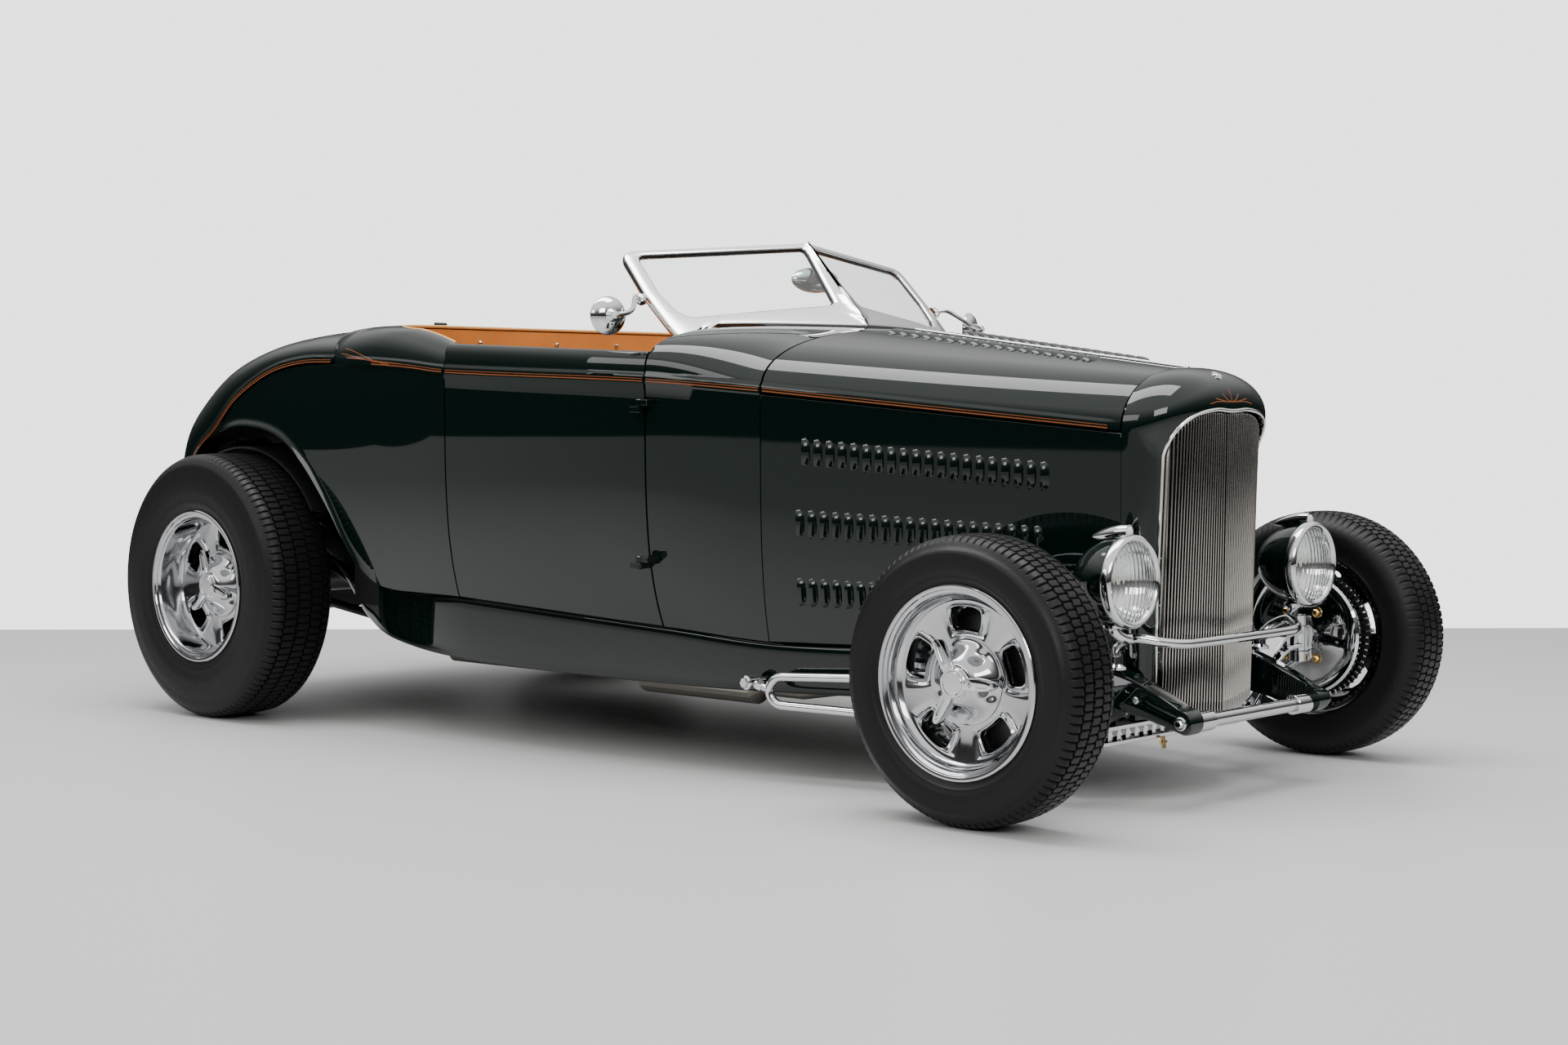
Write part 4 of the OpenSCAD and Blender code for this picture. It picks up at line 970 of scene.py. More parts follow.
@dataclass
class Hood:
    """Hood sides, hood tops and their louvers.

    Attributes:
        rows: louver rows on a side as (first x, z there, last x, z there, count).
        top_row: louver row on a top as (first x, y, last x, y, count).
    """

    rows: tuple = ((704, 772, 1228, 722, 20), (690, 606, 1215, 578, 20), (688, 446, 1205, 430, 20))
    top_row: tuple = (668, -150, 1210, -104, 17)
    slots: Louvers = field(default_factory=Louvers)

    def side_skin(self) -> Shape:
        """Returns a hood side from sill to just under the belt.

        Returns:
            The closed surfaces, in mm.
        """
        x, v = mesh_grid(np.linspace(HOOD_REAR - SEAM + 1.5, HOOD_FRONT + SEAM - 0.3, 50),
                         np.linspace(0, 1, 26))
        z = lerp(LINES.sill_z(x), LINES.belt_z(x) - SEAM, v)
        return Shape().add(*panel(LINES.side(x, z)))

    def top_skin(self) -> Shape:
        """Returns a hood top from the belt bead up to the middle.

        Returns:
            The closed surfaces, in mm.
        """
        phi = np.concatenate([[0.6, 1.2], np.linspace(2, 12, 16), np.linspace(14, 90, 44)])
        u, f = mesh_grid(np.linspace(0, 1, 60), phi)
        x = lerp(HOOD_REAR + SEAM, HOOD_FRONT - SEAM + 13 * arc_up(f, 2.0), u)
        p = LINES.crown(x, f)
        taper = ramp((HOOD_FRONT - 8 - x) / 34.0)
        plain = -LINES.belt_w(x) * arc_out(f, LINES.crown_n(x))
        p[..., 1] = np.where(f < 30, lerp(plain, p[..., 1], taper), p[..., 1])
        p[..., 1] = np.minimum(p[..., 1], -3.5)
        return Shape().add(*panel(p))

    def side_louvers(self, mouth_shade: bool) -> Shape:
        """Returns the side's louvers, or the dark sheets of painted shade in their mouths.

        Args:
            mouth_shade: whether the painted shade in the mouths is wanted.

        Returns:
            The closed surfaces, in mm.
        """
        out = Shape()
        for x0, z0, x1, z1, count in self.rows:
            x = np.linspace(x0, x1, count)
            z = np.linspace(z0, z1, count)
            here = LINES.side(x, z)
            ahead = LINES.side(x + 4, z)
            above = LINES.side(x, z + 4)
            out.merge(self._stamp(here, ahead - here, above - here, mouth_shade, False))
        return out

    def top_louvers(self, mouth_shade: bool) -> Shape:
        """Returns the top's louvers, which lie across the car, or the painted shade in their mouths.

        Args:
            mouth_shade: whether the painted shade in the mouths is wanted.

        Returns:
            The closed surfaces, in mm.
        """
        x0, y0, x1, y1, count = self.top_row
        x = np.linspace(x0, x1, count)
        y = np.linspace(y0, y1, count)
        here = np.stack([x, y, LINES.crown_at(x, y)], -1)
        ahead = np.stack([x + 4, y, LINES.crown_at(x + 4, y)], -1)
        inward = np.stack([x, y + 4, LINES.crown_at(x, y + 4)], -1)
        return self._stamp(here, ahead - here, inward - here, mouth_shade, True)

    def _stamp(self, here: Array, forward: Array, along: Array, mouth_shade: bool, flip: bool) -> Shape:
        """Stamps a louver at each place with its frame of axes.

        Args:
            here: places of the louvers.
            forward: directions ahead.
            along: directions along a louver.
            mouth_shade: whether the painted shade in the mouths is wanted.
            flip: whether the louvers lie on top and face up.

        Returns:
            The closed surfaces, in mm.
        """
        f, a = unit(forward), unit(along)
        o = unit(np.cross(f, a))
        if (o[:, 1] > 0).any() and not flip or flip and (o[:, 2] < 0).any():
            o = -o
        one = self.slots.mouth_shade() if mouth_shade else self.slots.blister()
        return one.stamped(here, f, a, o)

    def make(self) -> None:
        """Builds the hood pieces of both sides."""
        self.side_skin().both().build("hood_side_panels", PAINT, replaces=("hood_sides",), bevel=1.6)
        self.side_louvers(False).both().build("hood_side_louvers", PAINT)
        # Dark sheets of painted shade in the louver mouths, on the sides and on each top.
        self.side_louvers(True).both().build("hood_side_slot_shade", PAINTED_SHADE)
        for side in Side:
            body = f"hood_top_{side.value}"
            self.top_skin().on(side).build(f"hood_top_panel_{side.value}", PAINT, body, (body,), bevel=1.6)
            self.top_louvers(False).on(side).build(f"hood_top_louvers_{side.value}", PAINT, body)
            self.top_louvers(True).on(side).build(f"hood_top_slot_shade_{side.value}", PAINTED_SHADE, body)
        x0, x1 = HOOD_REAR - SEAM + 0.3, HOOD_FRONT + SEAM + 13
        line = [(x, 0, float(LINES.crown_z(x)) + 2) for x in np.linspace(x0, x1, 9)]
        Shape().add(tube(line, 3.4, 16)).build("hood_hinge_rod", CHROME, replaces=("hood_hinge",))


@dataclass
class BodyShell:
    """Cowl, doors, quarters, cockpit edge, deck lid and tail."""

    hinge_y: float = -680.0
    hinge_heights: tuple[float, float] = (505.0, 880.0)

    def cowl(self) -> Shape:
        """Returns the cowl: sides up to the belt and a crown whose rear edge slants.

        Returns:
            The closed surfaces, in mm.
        """
        u, v = mesh_grid(np.linspace(0, 1, 26), np.linspace(0, 1, 22))
        x = lerp(DOOR_FRONT + SEAM, HOOD_REAR - SEAM, u)
        low = LINES.side(x, lerp(LINES.sill_z(x), LINES.belt_z(x) - 4, v))
        phi = np.concatenate([[0.01, 0.6, 1.2], np.linspace(2, 12, 12), np.linspace(14, 90, 42)])
        uu, f = mesh_grid(np.linspace(0, 1, 26), phi)
        x = lerp(DOOR_FRONT + SEAM + 44 * ramp(f / 90), HOOD_REAR - SEAM, uu)
        high = LINES.crown(x, f)
        return Shape().add(*panel(over(np.concatenate([low, high], axis=1))))

    def door(self) -> Shape:
        """Returns a door with both its skins.

        Returns:
            The closed surfaces, in mm.
        """
        v = np.concatenate([np.linspace(0, 0.8, 30), np.linspace(0.802, 1, 34)])
        x, w = mesh_grid(np.linspace(DOOR_REAR + SEAM, DOOR_FRONT - SEAM, 30), v)
        x_in = lerp(DOOR_REAR + SEAM + 9, DOOR_FRONT - SEAM, (x - x.min()) / (x.max() - x.min()))
        return Shape().add(*slab(LINES.door_skin(x, w), LINES.door_inner(x_in, w)))

    def hinge(self, z: float, forward: bool) -> Shape:
        """Returns half of a barrel hinge: a rounded barrel half and its leaf.

        Args:
            z: height of its middle.
            forward: whether this is the half ahead of the pin.

        Returns:
            The closed surfaces, in mm.
        """
        turn = 1 if forward else -1
        base = z + 0.3 if forward else z - 16
        lows = [(7.5, base), (9, base + 1.5), (9, base + 14.5), (7.5, base + 16)]
        barrel = disc_stack((DOOR_FRONT, self.hinge_y, 0), (0, 0, 1), lows, 32)
        y1 = -float(LINES.side_w(np.array(DOOR_FRONT), np.array(z))) + 1
        x0, x1 = sorted((DOOR_FRONT, DOOR_FRONT + 30 * turn))
        return Shape().add(barrel).add(block((x0, self.hinge_y - 4, base + 1), (x1, y1, base + 15)))

    def quarter(self) -> Shape:
        """Returns the side behind the door, over the wheel arch, with a flared lip.

        Returns:
            The closed surfaces, in mm.
        """
        x, v = mesh_grid(np.linspace(RA - 78, DOOR_REAR - SEAM, 70), np.linspace(0, 1, 30))
        z = lerp(LINES.sill_z(x), LINES.belt_z(x) - 0.3, v)
        lip = 7.0 * (1 - ramp((z - LINES.sill_z(x))
                              / 22.0)) * ramp((RA + 600 - x) / 80) * ramp((x - RA + 78) / 60)
        return Shape().add(*panel(LINES.side(x, z) - np.stack([0 * x, lip, 0 * x], -1)))

    def deck_side(self) -> Shape:
        """Returns the tail side from its edge curve up to the deck lid.

        Returns:
            The closed surfaces, in mm.
        """
        t, v = mesh_grid(np.linspace(8, 0, 64), np.linspace(0, 1, 40) ** 1.5)
        top = LINES.tail_phi(t, DECK_HALF + SEAM + 0 * t)
        p = LINES.tail(t, lerp(0.4, top, v))
        p[-1, :, 0] -= 0.3
        return Shape().add(*panel(p))

    def strip(self, t0: float, t1: float, half: float, rows: int) -> Shape:
        """Returns the middle of the tail between two stations.

        Args:
            t0: first station.
            t1: last station.
            half: half width.
            rows: rows of the grid.

        Returns:
            The closed surfaces, in mm.
        """
        t, y = mesh_grid(np.linspace(t0, t1, rows), np.linspace(-half, half, 36))
        p = LINES.tail(t, LINES.tail_phi(t, np.abs(y)), bead=False)
        p[..., 1] = y
        return Shape().add(*panel(p))

    def surround(self) -> Shape:
        """Returns the rolled edge round the back of the cockpit."""
        a, psi = mesh_grid(np.linspace(0, 180, 120),
                           np.concatenate([np.linspace(0, 20, 16), np.linspace(24, 90, 26)]))
        return Shape().add(*panel(LINES.rim(a, psi)))

    def make(self) -> None:
        """Builds the shell pieces."""
        self.cowl().build("cowl_panel", PAINT, replaces=("cowl",), bevel=1.6)
        hinges, fixed = Shape(), Shape()
        for z in self.hinge_heights:
            hinges.merge(self.hinge(z, False))
            fixed.merge(self.hinge(z, True))
        fixed.both().build("hinge_roots", PAINT, bevel=1.2)
        for side in Side:
            body = f"door_{side.value}"
            self.door().on(side).build(f"door_shell_{side.value}", PAINT, body, (body,), bevel=1.6)
            hinges.on(side).build(f"door_hinges_{side.value}", PAINT, body, bevel=1.2)
        self.quarter().both().build("quarter_sides", PAINT, replaces=("quarter_panels",), bevel=1.6)
        self.deck_side().both().build("deck_sides", PAINT, bevel=1.6)
        self.strip(8, 7.14, DECK_HALF + SEAM - 0.3, 8).build("tail_apron", PAINT, replaces=("tail_panel",),
                                                       bevel=1.6)
        self.strip(7.1, 0.035, DECK_HALF - SEAM, 60).build("deck_lid_panel", PAINT, "deck_lid", ("deck_lid",),
                                                     bevel=1.6)
        self.surround().build("cockpit_edge", PAINT, replaces=("cockpit_surround",), bevel=1.2)


@dataclass
class Pinstripes:
    """Two copper lines along the belt bead, and the small flourishes."""

    heights: tuple[float, float] = (6.5, 12.5)
    widths: tuple[float, float] = (2.6, 1.5)
    lift: float = 0.45

    def line(self, surface: Callable[[Array, float], Array], s: Array) -> Shape:
        """Returns both stripes on a surface given by place along it and height.

        Args:
            surface: gives points from places along it and a height.
            s: places along the surface.

        Returns:
            The closed surfaces, in mm.
        """
        out = Shape()
        for h, w in zip(self.heights, self.widths):
            p, q = surface(s, h), surface(s, h + 1.0)
            up = unit(q - p)
            n = unit(np.cross(np.gradient(p, axis=0), up))
            n = np.where(n[:, 1:2] > 0, -n, n)
            out.add(*ribbon(p, n, up, w, self.lift))
        return out

    def on_crown(self, x: Array, h: float) -> Array:
        """Point on the hood or cowl bead at a height above the belt.

        Args:
            x: stations along the car.
            h: heights above the belt.

        Returns:
            Points of shape (..., 3), in mm.
        """
        n = LINES.crown_n(x)
        q = h / (LINES.crown_z(x) - LINES.belt_z(x))
        phi = np.degrees(np.arcsin(np.clip(q ** (n / 2), 0, 1)))
        return LINES.crown(x, phi)

    def on_door(self, x: Array, h: float) -> Array:
        """Point on the door bead.

        Args:
            x: stations along the car.
            h: heights above the belt.

        Returns:
            Points of shape (..., 3), in mm.
        """
        top = LINES.door_top(x) - LINES.belt_z(x)
        phi = np.degrees(np.arcsin((h / top) ** 1.4))
        return LINES.door_skin(x, DOOR_BELT + DOOR_CROWN * phi / 90)

    def rim_psi(self, a: Array, h: Array) -> Array:
        """Arc angle at which the cockpit edge has risen by h: inverse of its rise."""
        top = LINES.rim(a, 90 + 0 * a)[:, 2] - LINES.rim(a, 0 * a)[:, 2]
        return np.degrees(np.arcsin(np.clip(h / top, 0, 1) ** 1.2))

    def on_rim(self, c: Array, h: float) -> Array:
        """Point on the bead under the cockpit edge, on the right side."""
        return LINES.rim(90 + c, self.rim_psi(90 + c, h))

    def on_tail(self, t: Array, h: float) -> Array:
        """Point on the tail bead at a distance up from the edge curve.

        Args:
            t: stations on the tail, 0 at the cockpit to 8 at the foot.
            h: heights above the belt.

        Returns:
            Points of shape (..., 3), in mm.
        """
        e, m = LINES.tail_edge(t), LINES.tail_mid(t)
        n = LINES.tail_n(t)
        u = h / np.linalg.norm(m - e * [1, 0, 1], axis=-1)
        return LINES.tail(t, np.degrees(np.arcsin(np.clip(u ** (n / 2), 0, 1))))

    def make(self) -> None:
        """Builds the stripes on each panel that they cross."""
        fixed = self.line(self.on_crown, np.linspace(DOOR_FRONT + 6, HOOD_REAR - 5, 24))
        fixed.merge(self.line(self.on_rim, np.linspace(58, 89.4, 24)))
        fixed.merge(self.line(self.on_tail, np.linspace(0.1, 7.6, 60)))
        fixed.both().build("belt_stripes", STRIPE)
        hood = self.line(self.on_crown, np.linspace(HOOD_REAR + 5, HOOD_FRONT - 26, 40))
        door = self.line(self.on_door, np.linspace(DOOR_REAR + 5, DOOR_FRONT - 5, 40))
        for side in Side:
            hood.on(side).build(f"hood_stripes_{side.value}", STRIPE, f"hood_top_{side.value}")
            door.on(side).build(f"door_stripes_{side.value}", STRIPE, f"door_{side.value}")
        self.flourish().both().build("cockpit_flourish", STRIPE)

    def flourish(self) -> Shape:
        """Returns the curled lines at the cockpit's rear corner.

        Returns:
            The closed surfaces, in mm.
        """
        out = Shape()
        for c0, c1, h0, h1 in ((44, 66, 44, 9), (43, 60, 30, 15), (46, 72, 20, 13)):
            s = np.linspace(0, 1, 22)
            c = lerp(c0, c1, s)
            h = lerp(h0, h1, ramp(s) ** 0.8)
            a = 90 + c
            psi = self.rim_psi(a, h)
            p = LINES.rim(a, psi)
            q = LINES.rim(a, psi + 1.5)
            along = np.gradient(p, axis=0)
            n = unit(np.cross(along, q - p))
            n = np.where(n[:, 1:2] > 0, -n, n)
            out.add(*ribbon(p, n, unit(np.cross(n, along)), 1.8, self.lift))
        return out


# ------------------------------------------------------------------ wheels
def loop(n: float, steps: int) -> tuple[Array, Array]:
    """Superellipse of unit half sizes: cosine and sine to the power 2/n, signs kept.

    Args:
        n: squareness, 2 for an ellipse.
        steps: steps in a full turn.

    Returns:
        The two arrays in that order.
    """
    a = np.linspace(0, 2 * np.pi, steps + 1)
    c, s = np.cos(a), np.sin(a)
    return np.sign(c) * np.abs(c) ** (2 / n), np.sign(s) * np.abs(s) ** (2 / n)


@dataclass
class RoadWheel:
    """One tyre and its polished wheel, made on the right side about its axle line.

    Attributes:
        end: "front" or "rear".
        centre: middle of the tyre.
        tyre_r: outside radius.
        tyre_w: width.
        rim: radius over the lip.
        lip: distance out to the bead seat.
        disc: distance out to the face of the centre.
        spin: turn of the wheel in degrees.
        windows: windows in the centre disc.
        fin_count: fins round the drum.
    """

    end: str
    centre: tuple[float, float, float]
    tyre_r: float
    tyre_w: float
    rim: float
    lip: float
    disc: float
    spin: float = 0.0
    windows: int = 5
    fin_count: int = 64

    def polar(self, r: Array, a: Array, out: Array) -> Array:
        """Point at radius r, angle a in degrees from ahead upward, and distance outboard.

        Args:
            r: radii.
            a: angles in degrees from ahead upward.
            out: distances outboard.

        Returns:
            Points of shape (..., 3), in mm.
        """
        t = np.radians(a + self.spin)
        x, y, z = self.centre
        return np.stack([x + r * np.cos(t), y - out + 0 * t, z + r * np.sin(t)], -1)

    def turned(self, profile: Sequence, steps: int) -> Array:
        """Grid of a (radius, distance outboard) profile turned about the axle.

        Args:
            profile: (radius, distance outboard) points.
            steps: steps in a full turn.

        Returns:
            Points of shape (..., 3), in mm.
        """
        p = np.array(profile, float)
        a = np.broadcast_to(turn(steps, 360.0)[:, None], (steps + 1, len(p)))
        return self.polar(p[None, :, 0] + 0 * a, a, p[None, :, 1] + 0 * a)

    def tyre(self) -> Shape:
        """Returns the tyre: a smooth section with side rings, five zigzag ribs and sipes.

        Returns:
            The closed surfaces, in mm.
        """
        h, r_out, rim = self.tyre_w / 2, self.tyre_r, self.rim
        base = [(rim - 13, -self.lip + 6), (rim - 5, -self.lip - 2), (rim + 12, -h + 8),
                (lerp(rim, r_out, 0.35), -h),
                (lerp(rim, r_out, 0.62), -h + 1), (r_out - 26, -h + 9), (r_out - 10, -h + 21),
                (r_out - 3.0, -h + 34)]
        side = knots(*[(i, p) for i, p in enumerate(base)])
        inner = side(np.linspace(0, 7, 9))
        outer = side(np.linspace(7, 0, 31)) * [1, -1]
        for ring, tall in ((rim + 15, 3.0), (rim + 24, 1.8), (rim + 40, 1.6), (r_out - 37, 2.4),
                           (r_out - 30, 1.8)):
            outer[:, 1] += tall * np.exp(-((outer[:, 0] - ring) / 3.0) ** 2)
        outer[:, 1] = np.minimum(outer[:, 1], h)
        edge = h - 34
        cuts = np.array([-0.64, -0.22, 0.22, 0.64]) * (h - 16)
        y, deep = [], []
        for g in cuts:
            y += [g - 5.0, g - 3.2, g - 2.0, g + 2.0, g + 3.2, g + 5.0]
            deep += [0, 0, 1, 1, 0, 0]
        y, deep = np.array(y), np.array(deep, float)
        extra = np.array([-0.42, 0.0, 0.42]) * (h - 16)
        y = np.concatenate([y, extra])
        deep = np.concatenate([deep, 0 * extra])
        order = np.argsort(y)
        y, deep = y[order], deep[order]
        keep = np.abs(y) < edge - 0.5
        y, deep = y[keep], deep[keep]
        crown = r_out - 3.0 * (np.abs(y) / edge) ** 3
        prof = np.concatenate([inner, np.stack([crown, y], 1), outer])
        groove = np.concatenate([np.zeros(len(inner)), deep, np.zeros(len(outer))])
        steps = 660 if self.tyre_r > 340 else 600
        col = np.arange(steps + 1) % steps
        rib = np.searchsorted(cuts, prof[:, 1])
        on_rib = (prof[:, 0] > r_out - 14) & (groove < 0.5)
        phase = (col[:, None] + 2 * rib[None, :]) % 6
        cut = np.where((phase == 0) & on_rib[None], 4.5, 0.0)
        zig = np.where(groove > 0.5, 1.0, 0.75) * (np.abs(prof[:, 1]) < edge) * (prof[:, 0] > r_out - 12)
        shift = 2.4 * np.array([-1, -0.3, 0.8, 1, 0.3, -0.8])[col % 6][:, None] * zig[None]
        r = prof[None, :, 0] - 8.0 * groove[None] - cut
        a = np.broadcast_to(col[:, None] * 360.0 / steps, r.shape)
        grid = self.polar(r, a, prof[None, :, 1] + shift)
        return Shape().add(np.concatenate([grid, grid[:, :1]], axis=1))

    def rim_band(self) -> Shape:
        """Returns the rim: rolled lip, two steps, a dished wall and the barrel.

        Returns:
            The closed surfaces, in mm.
        """
        rim, lip, disc = self.rim, self.lip, self.disc
        prof = [(rim - 13.5, lip - 6), (rim - 6, lip + 1), (rim - 0.5, lip + 4.5), (rim, lip + 7),
                (rim - 2, lip + 9),
                (rim - 7, lip + 9.5), (rim - 11, lip + 8), (rim - 12.5, lip + 4.5), (rim - 15.5, lip + 3.5),
                (rim - 19, lip + 2), (rim - 20.5, lip - 3), (rim - 23, lip - 6)]
        deep = np.linspace(0, 1, 12)[1:]
        wall = [(rim - 23 - 15 * t**2.2, lerp(lip - 6, disc + 3, t**0.9)) for t in deep]
        back = [(rim - 40, disc - 8), (rim - 36, disc - 22), (rim - 30, disc - 34), (rim - 30, -lip + 20),
                (rim - 15, -lip + 2), (rim - 4, -lip - 6), (rim - 5, -lip - 3), (rim - 13.5, -lip + 5)]
        return Shape().add(self.turned(prof + wall + back + prof[:1], 180))

    def centre_disc(self) -> Shape:
        """Returns the centre disc with its windows.

        In each sector a grid runs from the window's superellipse out to the sector's
        border; the height has a raised lip near the window.

        Returns:
            The closed surfaces, in mm.
        """
        r_in, r_out = 86.0, self.rim - 36
        r_mid, r_half = lerp(r_in, r_out, 0.56), (r_out - r_in) * 0.29
        wide = 180.0 / self.windows
        cx, cy = loop(4.5, 64)
        a = np.linspace(0, 2 * np.pi, 65)
        sx, sy = np.cos(a), np.sin(a)
        big = np.maximum(np.abs(sx), np.abs(sy))
        sx, sy = sx / big, sy / big
        b = np.concatenate([[0, 0.03, 0.07, 0.12, 0.18, 0.24, 0.32, 0.42], np.linspace(0.55, 1, 6)])[:, None]
        win_a, win_r = cx * 17.0 * (1 - 0.10 * cy), r_mid + cy * r_half
        sec_a, sec_r = sx * wide, lerp(r_in, r_out, (sy + 1) / 2)
        ang, rad = lerp(win_a, sec_a, b), lerp(win_r, sec_r, b)
        lip = 6.5 * np.exp(-((b - 0.10) / 0.085) ** 2) - 3.0 * np.exp(-((b - 0.33) / 0.12) ** 2)
        top = self.disc + 7 * ((rad - r_in) / (r_out - r_in)) ** 2 + lip * (1 - ramp((b - 0.6) / 0.4))
        low = self.disc - 15 + 0 * rad
        patches = []
        for k in range(self.windows):
            turn = ang + 90 + k * 360 / self.windows
            face, back = self.polar(rad, turn, top), self.polar(rad, turn, low)
            patches += [face, back[::-1], np.stack([back[0], face[0]])]
            for border in (sy < -1 + 1e-9, sy > 1 - 1e-9):
                idx = np.flatnonzero(border)
                patches.append(np.stack([face[-1, idx], back[-1, idx]]))
        return Shape().add(*patches)

    def dome(self) -> Shape:
        """Returns the raised hub with a scooped dimple between each pair of windows.

        Returns:
            The closed surfaces, in mm.
        """
        r = np.concatenate([np.linspace(0, 36, 6), np.linspace(39, 93, 30)])
        aa, rr = mesh_grid(turn(180, 360.0), r)
        rise = 40 * (1 - ramp((rr - 36) / 54) ** 0.9)
        gap = (aa + 180 / self.windows - 90) % (360 / self.windows)
        gap = np.minimum(gap, 360 / self.windows - gap)
        scoop = 13 * np.exp(-((rr - 66) / 13) ** 2 - (np.radians(gap) * rr / 17) ** 2)
        top = self.disc + 2 + rise - scoop
        top[:, -1] = self.disc - 3
        face = self.polar(rr, aa, top)
        flat = self.turned([(0.0, self.disc - 3.0), (93.0, self.disc - 3.0)], 180)
        return Shape().add(face, flat[:, ::-1])

    def spinner(self) -> Shape:
        """Returns the three-bar nut: a stepped cap and tapered bars with a groove in each.

        Returns:
            The closed surfaces, in mm.
        """
        d = self.disc + 36
        cap = [(0, d - 6), (37, d - 6), (37, d + 4), (35, d + 7), (32, d + 7), (32, d + 13), (30.5, d + 15),
               (26, d + 15),
               (25, d + 13.5), (23.5, d + 15.5), (0, d + 16)]
        out = Shape().add(self.turned(cap, 72))
        ex, ey = loop(3.0, 40)
        rows = [(60, 0, 0, -14), (60, 42, 13, -14), (60, 42, 13, 3), (60, 40, 11.5, 6), (66, 27, 5.2, 6.5),
                (66, 26, 4.6, 1), (66, 0, 0, 1)]
        x = np.stack([c + ex * half for c, half, _, _ in rows])
        y = np.stack([ey * w * (1 - 0.22 * ex) for _, _, w, _ in rows])
        z = np.stack([np.full_like(ex, d + 7 + h) for _, _, _, h in rows])
        for k in range(3):
            r, t = np.hypot(x, y), np.degrees(np.arctan2(y, x)) + 120 * k
            out.add(self.polar(r, t, z))
        return out

    def drum(self) -> Shape:
        """Returns the brake drum inside the rim.

        Returns:
            The closed surfaces, in mm.
        """
        r = self.rim - 60
        stops = [(30, 46), (r - 12, 46), (r, 52), (r, 76), (r + 14, 78), (r + 14, 86), (30, 86), (30, 46)]
        return Shape().add(self.turned([(at, self.disc - deep) for at, deep in stops], 96))

    def fins(self) -> Shape:
        """Returns the ring of cooling fins on the drum.

        Returns:
            The closed surfaces, in mm.
        """
        r = self.rim - 60
        t = np.radians(np.arange(self.fin_count) * 360 / self.fin_count + self.spin)
        x, y, z = self.centre
        radial = np.stack([np.cos(t), 0 * t, np.sin(t)], 1)
        ring = np.stack([-np.sin(t), 0 * t, np.cos(t)], 1)
        origin = np.array([x, y, z]) + radial * (r + 6)
        fin = Shape().add(block((-7, -2.2, self.disc - 98), (12, 2.2, self.disc - 82)))
        outboard = np.tile([0.0, -1.0, 0.0], (self.fin_count, 1))
        return fin.stamped(origin, radial, ring, outboard)

    def make(self) -> None:
        """Builds this wheel on both sides of the car."""
        parts = ((self.tyre(), "tyre", TREAD, 40.0), (self.rim_band(), "rim", ALLOY, 28.0),
                 (self.centre_disc(), "centre", ALLOY, 40.0), (self.dome(), "hub_dome", ALLOY, 40.0),
                 (self.spinner(), "spinner", CHROME, 32.0), (self.drum(), "drum", IRON, 30.0),
                 (self.fins(), "fins", ALLOY, 30.0))
        valve = self.polar(np.array([self.rim - 27.0, self.rim - 31.0]), np.array([-58.0, -58.0]),
                           np.array([self.disc + 6.0, self.disc + 32.0]))
        stands_for = {"tyre": "tyre", "rim": "wheel"}
        for side in Side:
            body = f"wheel_{self.end}_{side.value}"
            for shape, word, finish, crease in parts:
                node = (f"{self.end}_{stands_for[word]}_{side.value}",) if word in stands_for else ()
                shape.on(side).build(f"{self.end}_{word}_{side.value}", finish, body, node, crease)
            Shape().add(tube(valve, 3.6, 12)).on(side).build(f"{self.end}_valve_{side.value}", BLACK, body)


def dress(node: str, finish: Finish) -> None:
    """Gives a frame node a finish in every slot it has.

    Args:
        node: name of the node.
        finish: finish that it gets.
    """
    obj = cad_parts[node]
    if not obj.data.materials:
        obj.data.materials.append(finish.material())
    for slot in obj.material_slots:
        slot.material = finish.material()


